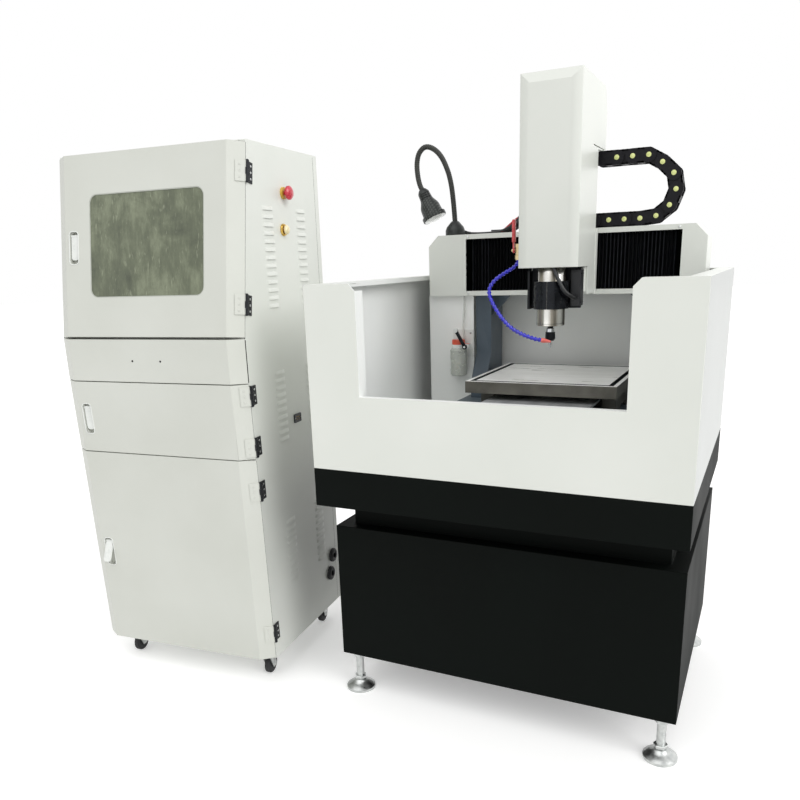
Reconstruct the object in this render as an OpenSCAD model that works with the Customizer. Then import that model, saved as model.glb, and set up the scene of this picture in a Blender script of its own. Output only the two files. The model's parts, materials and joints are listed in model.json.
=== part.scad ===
// Metal mould engraving machine with its control cabinet.
// The machine: black stand, white splash tray, fixed gantry, moving table and a tall spindle head.
// The cabinet: computer and drives behind three doors, a keyboard drawer, and four casters.
// Millimetres, +Z up. Origin on the floor, under the middle of the whole set.

/* [Stand and splash tray] */
// Width of the splash tray
tray_w = 1000; // [960:10:1200]
// Depth of the splash tray
tray_d = 870; // [860:10:1050]
// Height of the splash tray's walls
tray_h = 500; // [420:10:600]
// Width of the two posts beside the front opening
post_w = 156; // [110:2:190]
// Height of the wall under the front opening
lip_h = 207; // [150:1:215]
// Width of the folded rim round the tray's top
rim_w = 45; // [20:1:70]
// Thickness of the sheet metal
sheet = 2; // [1.5:0.5:3]
// Height of the black skirt under the tray
skirt_h = 110; // [80:5:150]
// Height of the open recess under the skirt
recess_h = 89; // [50:1:120]
// Height of the black stand
stand_h = 421; // [350:1:520]
// Clear height under the stand
foot_h = 130; // [100:5:160]
// How far the stand's front is set back
stand_setback = 89; // [40:1:120]
// Inset of the stand's sides
stand_inset = 8; // [0:1:40]
// Diameter of a levelling foot's pad
pad_d = 90; // [60:5:110]

/* [Axes] */
// Travel of the head, side to side
travel_x = 400; // [340:10:420]
// Travel of the table, front to back
travel_y = 380; // [300:10:380]
// How far the spindle goes down from where it stands
z_down = 85; // [60:5:90]
// Where the head stands, off the middle of its travel
head_at = 8; // [-150:1:150]
// Where the table stands, off the middle of its travel
table_at = 140; // [-150:1:140]
// Offset of the axes' middle from the tray's middle
axis_x = 32; // [0:1:40]
// Diameter of the ball screws
screw_d = 16; // [12:1:20]
// Running clearance of a shaft in its bore, on the radius
run_gap = 0.05; // [0.02:0.01:0.1]

/* [Table] */
// Width of the table
table_w = 444; // [380:2:450]
// Length of the table
table_l = 430; // [380:2:440]
// Thickness of the table
table_t = 35; // [25:1:40]
// Height of the table's top above the tray's floor
table_z = 200; // [190:1:210]
// Width of the coolant gutter round the table
gutter_w = 14; // [8:1:20]
// Width of the rim outside the gutter
table_rim = 12; // [6:1:20]

/* [Gantry] */
// Front of the beam, behind the tray's front
gantry_y = 680; // [670:5:700]
// Depth of the beam
beam_d = 150; // [130:5:170]
// Height of the beam
beam_h = 194; // [180:2:220]
// Height of the beam's underside above the tray's floor
beam_z = 434; // [400:2:480]
// Width of the left end cover, which holds the motor
left_cover_w = 132; // [120:2:150]
// Width of the right end cover
right_cover_w = 70; // [60:2:100]
// Chamfer on the covers' top corners
cover_chamfer = 34; // [10:1:45]
// Height of the white strips over and under the bellows
strip_h = 15; // [10:1:25]
// Width of a column
column_w = 54; // [50:1:90]
// Shortest length of a bellows
bellows_min = 62; // [56:1:90]

/* [Head and spindle] */
// Width of the head's cover
head_w = 170; // [165:1:200]
// Height of the head's cover
cover_h = 502; // [480:2:560]
// Underside of the head's cover above the beam's underside
cover_rise = 86; // [80:1:110]
// Diameter of the spindle
spindle_d = 80; // [65:5:85]
// Length of the spindle's body
spindle_l = 240; // [200:5:260]
// Diameter of the spindle clamp
clamp_d = 100; // [92:1:102]
// Height of the spindle clamp
clamp_h = 77; // [60:1:90]
// Diameter of the collet nut
nut_d = 28; // [22:1:34]
// Diameter of the tool
tool_d = 6; // [3:0.5:10]

/* [Energy chain and lamp] */
// Pitch of the energy chain's links
link_pitch = 45; // [40:1:50]
// Height of a link
link_h = 42; // [36:1:44]
// Width of the energy chain
chain_w = 52; // [40:2:58]
// Diameter of the lamp's gooseneck
neck_d = 17; // [10:1:20]
// Length of the lamp's shade
shade_l = 95; // [80:5:110]
// Diameter of the lamp's lens
lens_d = 84; // [70:2:90]

/* [Control cabinet] */
// Width of the cabinet
cab_w = 650; // [560:10:750]
// Depth of the cabinet
cab_d = 525; // [480:5:650]
// Underside of the cabinet above the floor
cab_foot = 93; // [90:1:110]
// Top of the lower door
door_z1 = 754; // [700:2:800]
// Top of the middle door
door_z2 = 978; // [940:2:1000]
// Top of the keyboard drawer
door_z3 = 1107; // [1080:1:1130]
// Top of the cabinet
cab_top = 1637; // [1500:1:1800]
// How far the drawer stands forward of the lower door's foot
drawer_out = 23; // [0:1:60]
// How far the top leans back from the lower door's foot
top_back = 67; // [0:1:120]
// Width of the bevel at each side of a door
bevel_w = 43; // [20:1:60]
// Depth of that bevel
bevel_d = 28; // [22:1:40]
// Sheet left beside the window, on the hinges' side
pane_side = 72; // [50:1:110]
// Sheet left between the latch and the window
pane_gap = 44; // [30:1:80]
// Height of the window
pane_h = 298; // [200:2:340]
// Pitch of the louvres
louvre_pitch = 23; // [18:1:30]
// Diameter of a caster's wheel
wheel_d = 62; // [50:1:70]
// Angle at which the cabinet stands to the machine
cab_yaw = 5.4; // [0:0.1:10]
// Gap between the cabinet and the tray
cab_gap = 205; // [60:5:400]

/* [Hidden] */
$fn = 48;

// Levels of the machine
stand_z = foot_h;
stand_top = stand_z + stand_h;
skirt_z = stand_top + recess_h;
tray_z = skirt_z + skirt_h;
tray_top = tray_z + tray_h;
lip_z = tray_z + lip_h;
beam_bottom = tray_z + beam_z;
beam_top = beam_bottom + beam_h;
table_top = tray_z + table_z;
table_bottom = table_top - table_t;
touch = 0.01;
plate = 10;
deck_t = 6;
seat_gap = 0.3;

// Window of the gantry, which the bellows close
block_w = 140;
pane_half = (travel_x + block_w) / 2 + bellows_min;
window_l = axis_x - pane_half;
window_r = axis_x + pane_half;
gantry_l = window_l - left_cover_w;
gantry_r = window_r + right_cover_w;
beam_back = gantry_y + beam_d;
rail_face_y = gantry_y + 50;
screw_y = gantry_y + 36;
screw_z = beam_bottom + beam_h / 2 + 2;

// The head, from the beam forward
head_x = axis_x + head_at;
carriage_t = 26;
carriage_gap = 4;
carriage_y = gantry_y - carriage_gap - carriage_t;
column_d = 90;
column_y = carriage_y - column_d;
rail_h = 12;
rail_w = 15;
z_rail_y = column_y - rail_h;
slide_t = 16;
slide_y = z_rail_y - 6 - slide_t;
spindle_y = slide_y - clamp_d / 2 - 2;
cover_front = spindle_y - clamp_d / 2 - 8;
cover_z = beam_bottom + cover_rise;
cover_top = cover_z + cover_h;
hood_z = cover_top - 172;
hood_back = carriage_y + 95;
column_z = beam_bottom + 6;
column_top = hood_z - 2;
column_half = head_w / 2 - sheet;
column_wall = 24;
z_screw_y = column_y + 40;
slide_half = 72;
slide_z = beam_bottom - 31;
slide_top = slide_z + 262;
low_block_z = slide_z + 130;
clamp_z = slide_z + 2;
spindle_z = clamp_z - 48;
nut_z = spindle_z - 44;
nut_h = 25;
shaft_d = 16;
tool_z = nut_z - 23;
z_rail_x = column_half - 14;

// The table and its ways
bed_half = pane_half - 2;
bed_l = axis_x - bed_half;
bed_front = 45;
bed_back = tray_d - 20;
bed_top = tray_z + 100;
y_rail_x = 185;
y_rail_w = 20;
y_rail_h = 18;
table_mid = spindle_y - 22 + table_at;
saddle_half_l = 120;
block_y = 78;
block_half_l = 34;
stop_gap = 4;
y_screw_z = bed_top - 26;
cover_half = 158;
way_z = bed_top + 46;
way_t = 1.5;
column_side = 33;
column_gap = table_w + 2 * column_side;

// The energy chain: the direction of each link, from the head's end to the fixed end
chain_turns = [0, 0, 0, -30, -44, -79, -110, -142, -174, -180, -180, -180, -180, -180];
function chain_sum(n, f) = n == 0 ? 0 : chain_sum(n - 1, f) + f[n - 1];
chain_dx = [for (a = chain_turns) link_pitch * cos(a)];
chain_dz = [for (a = chain_turns) link_pitch * sin(a)];
chain_low_z = beam_top + link_h / 2 + 0.3;
chain_top_z = chain_low_z - chain_sum(len(chain_turns), chain_dz);
chain_y = gantry_y + 8;
chain_x0 = head_x + head_w / 2 - 2;
function chain_pin(i) = [chain_x0 + chain_sum(i, chain_dx), chain_top_z + chain_sum(i, chain_dz)];

// The lamp
lamp_x = gantry_l + 80;
lamp_y = gantry_y + 40;
lamp_neck_path = [
    [0, 0, 38], [-3, 0, 78], [-7, 0, 120], [-12, -2, 160], [-22, -4, 200], [-42, -6, 243],
    [-68, -8, 270], [-97, -10, 279], [-119, -12, 262], [-127, -14, 230], [-124, -16, 192],
    [-117, -17, 164], [-108, -18, 146],
];
lamp_tilt = 26;
lamp_cable_path = [
    [38, 20, 6], [70, 24, 4], [110, 26, 4], [150, 28, 8], [190, 30, 26], [225, 32, 44],
    [262, 34, 46], [300, 36, 34], [338, 36, 24], [366, 36, 22],
];

// The coolant valve and hose
valve_x = head_x - head_w / 2 - 13;
valve_y = cover_front + 54;
valve_z = beam_bottom + 112;
hose_path = [
    [0, 0, -0.9], [-1, 0, -10], [-14, -2, -24], [-38, -6, -38], [-66, -14, -58],
    [-80, -22, -82], [-74, -30, -108],
    [-52, -40, -142], [-26, -48, -172], [4, -54, -196], [38, -58, -212], [70, -60, -222], [94, -60, -226],
];

// The oil pump, on the tray's left partition
partition_y = gantry_y + 20;
oil_x = gantry_l + 108;
oil_y = partition_y - 32;
oil_z = tray_z + 172;
oil_r = 28;

// The cabinet's own frame: x to the right, y to the back, from the middle of its front foot
door_half = cab_w / 2 - bevel_w;
door_gap = 3;
// Depth of the front face at each level
face_z = [cab_foot, door_z1, door_z2, door_z3, cab_top];
face_y = [0, -drawer_out * (door_z1 - cab_foot) / (door_z2 - cab_foot), -drawer_out, -drawer_out, top_back];
cab_x = -tray_w / 2 - cab_gap - cab_w / 2 * cos(cab_yaw);
cab_y = -30;
function in_cab(x, y) = [
    cab_x + x * cos(cab_yaw) - y * sin(cab_yaw),
    cab_y + x * sin(cab_yaw) + y * cos(cab_yaw),
];
hinge_y = bevel_d;
hinge_half = 28;
knuckle_half = 9;
knuckle_x = 6;
knuckle_d = 10;
pin_d = 5;
latch_x = 32 - door_half;
latch_l = 94;
latch_w = 32;
latch_deep = 16;
caster_in = 62;
caster_spots = [
    [cab_w / 2 - caster_in, caster_in + 10], [-cab_w / 2 + caster_in, caster_in + 10],
    [cab_w / 2 - caster_in, cab_d - caster_in], [-cab_w / 2 + caster_in, cab_d - caster_in],
];
caster_trail = 22;
stop_at = [285, 1509];
power_at = [272, 1404];
button_d = 40;

// Origin of the set: the middle of its outline on the floor
far_left = in_cab(-cab_w / 2, cab_d)[0];
far_front = in_cab(-door_half, -drawer_out)[1];
origin = [(far_left + tray_w / 2) / 2, (far_front + tray_d) / 2, 0];

// ---- Helpers ----

module block(x0, x1, y0, y1, z0, z1) {
    translate([x0, y0, z0])
        cube([x1 - x0, y1 - y0, z1 - z0]);
}

// An outline drawn in x and y, raised from z0 to z1
module raised(z0, z1) {
    translate([0, 0, z0])
        linear_extrude(z1 - z0)
            children();
}

// An outline drawn in y and z, run from x0 to x1
module run_x(x0, x1) {
    translate([x0, 0, 0])
        rotate([90, 0, 90])
            linear_extrude(x1 - x0)
                children();
}

// An outline drawn in x and z, run from y0 to y1
module run_y(y0, y1) {
    translate([0, y1, 0])
        rotate([90, 0, 0])
            linear_extrude(y1 - y0)
                children();
}

module rod_x(d, x0, x1, y, z) {
    translate([x0, y, z])
        rotate([0, 90, 0])
            cylinder(d = d, h = x1 - x0);
}

module rod_y(d, x, y0, y1, z) {
    translate([x, y0, z])
        rotate([-90, 0, 0])
            cylinder(d = d, h = y1 - y0);
}

module rod_z(d, x, y, z0, z1) {
    translate([x, y, z0])
        cylinder(d = d, h = z1 - z0);
}

// A rectangle with round corners, about its middle
module round_rect(w, h, r) {
    square([w - 2 * r, h], center = true);
    square([w, h - 2 * r], center = true);
    for (x = [-1, 1], y = [-1, 1])
        translate([x * (w / 2 - r), y * (h / 2 - r)])
            circle(r);
}

function unit(v) = v / norm(v);

// A smooth curve through the points, with k steps between each two
function curve_point(a, b, c, d, t) =
    0.5 * (2 * b + (c - a) * t + (2 * a - 5 * b + 4 * c - d) * t * t + (3 * b - a - 3 * c + d) * t * t * t);
function curve(p, k) = [
    for (i = [0:len(p) - 2], j = [0:k - 1])
        curve_point(p[max(i - 1, 0)], p[i], p[i + 1], p[min(i + 2, len(p) - 1)], j / k),
    p[len(p) - 1],
];
function ways(p) = [for (i = [0:len(p) - 1]) unit(p[min(i + 1, len(p) - 1)] - p[max(i - 1, 0)])];
function square_to(n, t) = unit(n - (n * t) * t);
function carried(t) = [for (i = 0, n = square_to([0.31, 0.93, 0.2], t[0]);
    i < len(t); i = i + 1, n = i < len(t) ? square_to(n, t[i]) : n) n];

// A tube of diameter d along a curve through the points
module tube(points, d, k = 3, sides = 10) {
    p = curve(points, k);
    t = ways(p);
    n = carried(t);
    rings = [for (i = [0:len(p) - 1], s = [0:sides - 1])
        p[i] + d / 2 * (cos(360 * s / sides) * n[i] + sin(360 * s / sides) * cross(t[i], n[i]))];
    last = (len(p) - 1) * sides;
    walls = [for (i = [0:len(p) - 2], s = [0:sides - 1])
        [i * sides + s, (i + 1) * sides + s, (i + 1) * sides + (s + 1) % sides,
        i * sides + (s + 1) % sides]];
    foot = [for (s = [0:sides - 1]) s];
    head = [for (s = [sides - 1:-1:0]) last + s];
    polyhedron(rings, concat(walls, [foot, head]));
}

module on_machine() {
    translate(-origin)
        children();
}

module on_cabinet() {
    translate(-origin + [cab_x, cab_y, 0])
        rotate([0, 0, cab_yaw])
            children();
}

// ---- Stand, feet and deck ----

foot_in = 37;
stand_x = tray_w / 2 - stand_inset;
stand_back = tray_d - 10;
neck_in = 42;
neck_x = stand_x - neck_in;
neck_front = stand_setback + neck_in;
neck_back = stand_back - neck_in;
foot_spots = [for (x = [-1, 1], y = [stand_setback + foot_in, stand_back - foot_in])
    [x * (stand_x - foot_in), y]];

// A box of four sheets round a rectangle
module ring(x, y0, y1, z0, z1, t) {
    difference() {
        block(-x, x, y0, y1, z0, z1);
        block(t - x, x - t, y0 + t, y1 - t, z0 - 1, z1 + 1);
    }
}

module stand() {
    leg = 70;
    color("#14171a")
        on_machine() {
            ring(stand_x, stand_setback, stand_back, stand_z, stand_top, 3);
            block(-stand_x, stand_x, stand_setback, stand_back, stand_top - plate, stand_top);
            for (p = foot_spots)
                block(p[0] - leg / 2 + 4, p[0] + leg / 2 - 4, p[1] - leg / 2 + 4, p[1] + leg / 2 - 4,
                    stand_z, stand_top - plate);
            ring(neck_x, neck_front, neck_back, stand_top, tray_z - deck_t, plate);
        }
}

module levelling_feet() {
    stud_d = 24;
    color("#b9bcbd")
        on_machine()
            for (p = foot_spots)
                translate([p[0], p[1], 0]) {
                    rotate_extrude()
                        polygon([[0, 0], [pad_d / 2, 0], [pad_d / 2, 8], [pad_d / 2 - 8, 14],
                            [22, 22], [16, 30], [0, 30]]);
                    cylinder(d = stud_d, h = stand_z);
                    translate([0, 0, stand_z - 20])
                        cylinder(d = 42, h = 20, $fn = 6);
                }
}

module skirt_deck() {
    color("#16191c")
        on_machine() {
            ring(tray_w / 2, 0, tray_d, skirt_z, tray_z, 3);
            block(-tray_w / 2, tray_w / 2, 0, tray_d, tray_z - deck_t, tray_z);
        }
}

// ---- Bed and splash tray ----

module bed() {
    pocket = 24;
    channel_half = 60;
    rib = 20;
    color("#5d6a70")
        on_machine() {
            difference() {
                block(axis_x - bed_half, axis_x + bed_half, bed_front, bed_back, tray_z, bed_top);
                // Channel for the table's screw, open at the top
                block(axis_x - channel_half, axis_x + channel_half, bed_front + pocket, y_motor_y - 60,
                    tray_z + 40, bed_top + 1);
                block(axis_x - channel_half, axis_x + channel_half, y_motor_y - 60 + rib, y_motor_y - 6,
                    tray_z + 40, bed_top + 1);
                block(axis_x - channel_half, axis_x + channel_half, y_motor_y + 4, bed_back + 1,
                    tray_z + 40, bed_top + 1);
                rod_y(pilot_d, axis_x, y_motor_y - 7, y_motor_y + 5, y_screw_z);
                // Pockets between the ribs, at both sides
                for (s = [-1, 1], y = [0:2])
                    translate([axis_x + s * 110, bed_front + pocket + y * (bed_back - bed_front) / 3.2, 0])
                        block(-34, 34, 10, 190, tray_z + 24, bed_top + 1);
                rod_y(screw_d + 2 * run_gap, axis_x, bed_front - 1, y_motor_y - 20, y_screw_z);
            }
            // Stops beside the rails, at the ends of the table's travel
            for (s = [-1, 1], e = [-1, 1])
                translate([axis_x + s * (y_rail_x + y_rail_w / 2 + 5), table_mid - table_at
                    + e * (travel_y / 2 + block_y + block_half_l + stop_gap + 5), bed_top + 7.5])
                    cube([8, 10, 15 + 2 * touch], center = true);
            // Feet that carry the way cover's two ends
            for (y = [bed_front, bed_back - 16], s = [-1, 1])
                translate([axis_x + s * 90, 0, 0])
                    block(-20, 20, y, y + 16, bed_top, way_z - way_t);
        }
}

module splash_tray() {
    half = tray_w / 2;
    inner_front = sheet;
    post_return = 42;
    corner = 18;
    rim_drop = 14;
    open_half = half - post_w;
    color("#eceeec")
        on_machine() {
            // Floor, with a hole round the bed
            difference() {
                block(-half, half, 0, tray_d, tray_z, tray_z + sheet);
                block(axis_x - bed_half - 1, axis_x + bed_half + 1, bed_front - 1, bed_back + 1,
                    tray_z - 1, tray_z + sheet + 1);
            }
            // Side and back walls
            block(-half, sheet - half, 0, tray_d, tray_z, tray_top);
            block(half - sheet, half, 0, tray_d, tray_z, tray_top);
            block(-half, half, tray_d - sheet, tray_d, tray_z, tray_top);
            // Front wall, with the opening between the posts and a chamfer on each post
            run_y(0, sheet)
                difference() {
                    translate([-half, tray_z])
                        square([tray_w, tray_h]);
                    polygon([
                        [-open_half, lip_z], [open_half, lip_z], [open_half, tray_top - corner],
                        [open_half + corner + 1, tray_top + 1], [-open_half - corner - 1, tray_top + 1],
                        [-open_half, tray_top - corner],
                    ]);
                }
            // Returns down the posts and along the lip
            for (s = [-1, 1])
                translate([s * open_half, 0, 0])
                    block(s < 0 ? -sheet : 0, s < 0 ? 0 : sheet, inner_front, post_return,
                        lip_z - sheet, tray_top - corner);
            block(-open_half, open_half, inner_front, 22, lip_z - sheet, lip_z);
            // Folded rim round the top, with its edge turned down
            for (s = [-1, 1])
                translate([s * half, 0, 0]) {
                    block(s < 0 ? 0 : -rim_w, s < 0 ? rim_w : 0, sheet, tray_d, tray_top - sheet, tray_top);
                    block(s < 0 ? rim_w - sheet : -rim_w, s < 0 ? rim_w : sheet - rim_w,
                        post_return, tray_d,
                        tray_top - rim_drop, tray_top);
                }
            block(rim_w - half, half - rim_w, beam_back + 2, tray_d, tray_top - sheet, tray_top);
            for (s = [-1, 1])
                translate([s * half, 0, 0])
                    block(s < 0 ? 0 : corner - post_w, s < 0 ? post_w - corner : 0, sheet, post_return,
                        tray_top - sheet, tray_top);
            // Panel that carries the oil pump, beside the left column
            run_y(partition_y, partition_y + sheet)
                polygon([
                    [gantry_l - 9, tray_z], [bed_l - 1, tray_z], [bed_l - 1, bed_top + 1],
                    [column_l - 4, bed_top + 1], [column_l - 4, beam_bottom - 1],
                    [gantry_l - 9, beam_bottom - 1],
                ]);
        }
}

// ---- Gantry ----

column_l = axis_x - column_gap / 2 - column_w;
column_r = axis_x + column_gap / 2;
column_front = gantry_y + 30;

module gantry_frame() {
    gusset = 66;
    foot_out = 54;
    foot_rise = 145;
    color("#454f57")
        on_machine() {
            difference() {
                run_x(window_l, window_r)
                    polygon([
                        [gantry_y, beam_bottom], [beam_back, beam_bottom], [beam_back, beam_top],
                        [gantry_y, beam_top], [gantry_y, beam_top - strip_h],
                        [rail_face_y, beam_top - strip_h], [rail_face_y, beam_bottom + strip_h],
                        [gantry_y, beam_bottom + strip_h],
                    ]);
                // Hollow through the beam
                run_x(window_l - 1, window_r + 1)
                    polygon([
                        [rail_face_y + 20, beam_bottom + 24], [beam_back - 16, beam_bottom + 24],
                        [beam_back - 16, beam_top - 24], [rail_face_y + 20, beam_top - 24],
                    ]);
            }
            // Bearing plates for the screw, at the window's two ends
            for (x = [window_l, window_r - 12])
                difference() {
                    block(x, x + 12, gantry_y + 8, rail_face_y, beam_bottom + strip_h, beam_top - strip_h);
                    rod_x(screw_d + 2 * run_gap, x - 1, x + 13, screw_y, screw_z);
                }
            // Mount of the motor, outside the window's left end
            difference() {
                block(x_motor_x - 4, x_motor_x + 4, screw_y - 32, rail_face_y + 20, screw_z - 36,
                    screw_z + 36);
                rod_x(pilot_d, x_motor_x - 5, x_motor_x + 5, screw_y, screw_z);
            }
            for (s = [-1, 1])
                block(x_motor_x, window_l + 12, screw_y - 20, rail_face_y + 20,
                    screw_z + s * 32 - 4, screw_z + s * 32 + 4);
            // Columns, each with a foot that slopes forward, and their gussets
            for (x = [column_l, column_r]) {
                block(x, x + column_w, column_front, beam_back, bed_top, beam_bottom);
                run_x(x, x + column_w)
                    polygon([[column_front + 1, bed_top], [column_front - foot_out, bed_top],
                        [column_front - foot_out, bed_top + 50], [column_front + 1, bed_top + foot_rise]]);
            }
            run_y(column_front + 4, column_front + 24) {
                polygon([[column_l + column_w, beam_bottom], [column_l + column_w, beam_bottom - gusset],
                    [column_l + column_w + gusset, beam_bottom]]);
                polygon([[column_r, beam_bottom], [column_r, beam_bottom - gusset],
                    [column_r - gusset, beam_bottom]]);
            }
        }
}

// A folded cover over one end of the beam, drawn for the left end
module end_cover(w) {
    h = beam_h;
    color("#eef0ee")
        difference() {
            run_y(gantry_y, beam_back)
                polygon([[0, beam_bottom], [w, beam_bottom], [w, beam_top], [cover_chamfer, beam_top],
                    [0, beam_top - cover_chamfer]]);
            run_y(gantry_y + sheet, beam_back - sheet)
                polygon([[sheet, beam_bottom + sheet], [w + 1, beam_bottom + sheet],
                    [w + 1, beam_top - sheet], [cover_chamfer + 1, beam_top - sheet],
                    [sheet, beam_top - cover_chamfer - 1]]);
        }
}

module end_covers() {
    on_machine() {
        translate([gantry_l, 0, 0])
            end_cover(left_cover_w);
        translate([gantry_r, 0, 0])
            mirror([1, 0, 0])
                end_cover(right_cover_w);
    }
}

x_rail_z = [beam_bottom + 48, beam_top - 48];

module guide_rails() {
    color("#c8ccce")
        on_machine() {
            for (z = x_rail_z)
                block(window_l + 13, window_r - 13, rail_face_y - 18, rail_face_y, z - 10, z + 10);
            for (s = [-1, 1])
                translate([axis_x + s * y_rail_x, 0, 0])
                    block(-y_rail_w / 2, y_rail_w / 2, bed_front + 12, bed_back - 12, bed_top,
                        bed_top + y_rail_h);
        }
}

motor_size = 60;
motor_l = 76;
motor_shaft_d = 12;
pilot_d = 38;
coupling_d = 30;

// A stepper motor with its shaft's bore, along +x from its face at 0
module motor_body() {
    difference() {
        union() {
            block(-motor_l, -4, -motor_size / 2, motor_size / 2, -motor_size / 2, motor_size / 2);
            rod_x(pilot_d, -4 - touch, 0, 0, 0);
        }
        rod_x(motor_shaft_d + 2 * run_gap, -14, 1, 0, 0);
    }
}

// A ball screw with its coupling and the motor's shaft, along +x from the motor's face
module screw_line(l) {
    rod_x(motor_shaft_d, -12, 4, 0, 0);
    rod_x(coupling_d, 3, 33, 0, 0);
    rod_x(screw_d, 33 - touch, l, 0, 0);
}

x_motor_x = window_l - 44;
y_motor_y = bed_back - motor_l;

module axis_motors() {
    color("#202427")
        on_machine() {
            translate([x_motor_x, screw_y, screw_z])
                motor_body();
            translate([axis_x, y_motor_y, y_screw_z])
                rotate([0, 0, -90])
                    motor_body();
        }
}

module x_screw() {
    color("#b4b8ba")
        on_machine()
            translate([x_motor_x, screw_y, screw_z])
                screw_line(window_r + 2 - x_motor_x);
}

module y_screw() {
    color("#b4b8ba")
        on_machine()
            translate([axis_x, y_motor_y, y_screw_z])
                rotate([0, 0, -90])
                    screw_line(y_motor_y - bed_front);
}

// Pleated cover from x0 to x1, folded along upright lines
module bellows(x0, x1) {
    deep = 14;
    skin = 1.2;
    pleats = floor((x1 - x0) / 11);
    step = (x1 - x0) / (2 * pleats);
    y0 = gantry_y + 10;
    front = [for (i = [0:2 * pleats]) [x0 + i * step, y0 + (i % 2) * deep]];
    back = [for (i = [2 * pleats:-1:0]) [x0 + i * step, y0 + skin + (i % 2) * deep]];
    color("#101214")
        on_machine()
            raised(beam_bottom + strip_h + seat_gap, beam_top - strip_h - seat_gap)
                polygon(concat(front, back));
}

module bellows_left() {
    bellows(window_l + 13, head_x - block_w / 2 - 1);
}

module bellows_right() {
    bellows(head_x + block_w / 2 + 1, window_r - 13);
}

// ---- Energy chain ----

// One link's side outline between two pins
module link_outline(a, b) {
    r = link_h / 2;
    along = b - a;
    translate(a)
        rotate(atan2(along[1], along[0])) {
            circle(r - 2);
            translate([link_pitch, 0])
                circle(r - 3);
            translate([link_pitch / 2, 0])
                square([link_pitch - 4, link_h], center = true);
            translate([link_pitch / 2, 0])
                square([link_pitch, link_h - 8], center = true);
        }
}

module energy_chain() {
    skin = 3;
    nest = 0.2;
    last = len(chain_turns) - 1;
    color("#15171a")
        on_machine() {
            for (i = [0:last]) {
                a = chain_pin(i);
                b = chain_pin(i + 1);
                inset = i % 2 * (skin - nest);
                for (y = [chain_y + inset, chain_y + chain_w - inset - skin])
                    run_y(y, y + skin)
                        link_outline(a, b);
                // Cross bars over and under the cables
                run_y(chain_y + inset + skin - nest, chain_y + chain_w - inset - skin + nest)
                    translate(a)
                        rotate(atan2(b[1] - a[1], b[0] - a[0]))
                            for (z = [-link_h / 2, link_h / 2 - 3])
                                translate([link_pitch / 2 - 9, z])
                                    square([18, 3]);
            }
            for (i = [1:last])
                rod_y(11, chain_pin(i)[0], chain_y - 1, chain_y + chain_w + 1, chain_pin(i)[1]);
            // Bracket that holds the fixed end on the beam
            translate([chain_pin(last + 1)[0], chain_y + chain_w / 2, 0]) {
                block(-30, 4, 12 - chain_w / 2, chain_w / 2 - 12, beam_top, beam_top + 4);
                block(-9, 9, 5.4 - chain_w / 2, chain_w / 2 - 5.4, beam_top, chain_low_z + 9);
            }
        }
}

// ---- Table and ways ----

module way_cover() {
    edge = 6;
    color("#c9cccd")
        on_machine()
            run_y(bed_front, bed_back)
                polygon([
                    [axis_x - cover_half, way_z], [axis_x + cover_half, way_z],
                    [axis_x + cover_half, way_z - edge], [axis_x + cover_half - way_t, way_z - edge],
                    [axis_x + cover_half - way_t, way_z - way_t],
                    [axis_x - cover_half + way_t, way_z - way_t],
                    [axis_x - cover_half + way_t, way_z - edge], [axis_x - cover_half, way_z - edge],
                ]);
}

module saddle() {
    arm = 20;
    bar_z = way_z - 24;
    color("#50585d")
        on_machine()
            translate([axis_x, table_mid, 0])
                difference() {
                    union() {
                        for (s = [-1, 1]) {
                            // Side beam under the table
                            block(s * y_rail_x - arm, s * y_rail_x + arm, -saddle_half_l, saddle_half_l,
                                bed_top + y_rail_h + 2, table_bottom);
                            // Two bearing blocks on the rail
                            for (y = [-block_y, block_y])
                                block(s * y_rail_x - arm, s * y_rail_x + arm, y - block_half_l,
                                    y + block_half_l, bed_top + 4, bed_top + y_rail_h + 3);
                        }
                        // Cross bar that passes under the way cover, with the nut below it
                        block(-y_rail_x, y_rail_x, -30, 30, bar_z - 12, bar_z + 4);
                        block(-26, 26, -30, 30, y_screw_z - 20, bar_z);
                    }
                    for (s = [-1, 1])
                        block(s * y_rail_x - y_rail_w / 2 - seat_gap,
                            s * y_rail_x + y_rail_w / 2 + seat_gap,
                            -saddle_half_l - 1, saddle_half_l + 1, bed_top, bed_top + y_rail_h + seat_gap);
                    rod_y(screw_d + 2 * run_gap, 0, -31, 31, y_screw_z);
                }
}

module table() {
    inner_w = table_w - 2 * table_rim;
    inner_l = table_l - 2 * table_rim;
    gutter = 12;
    color("#cfd1cf")
        on_machine()
            translate([axis_x, table_mid, 0])
                difference() {
                    block(-table_w / 2, table_w / 2, -table_l / 2, table_l / 2, table_bottom, table_top);
                    // Gutter round the working face
                    raised(table_top - gutter, table_top + 1)
                        difference() {
                            square([inner_w, inner_l], center = true);
                            square([inner_w - 2 * gutter_w, inner_l - 2 * gutter_w], center = true);
                        }
                    // Hollow between the ribs under the plate
                    for (s = [-1, 1])
                        block(s * 75 - 60, s * 75 + 60, 30 - table_l / 2, table_l / 2 - 30,
                            table_bottom - 1, table_top - 20);
                }
}

// ---- Carriage and head ----

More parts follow.
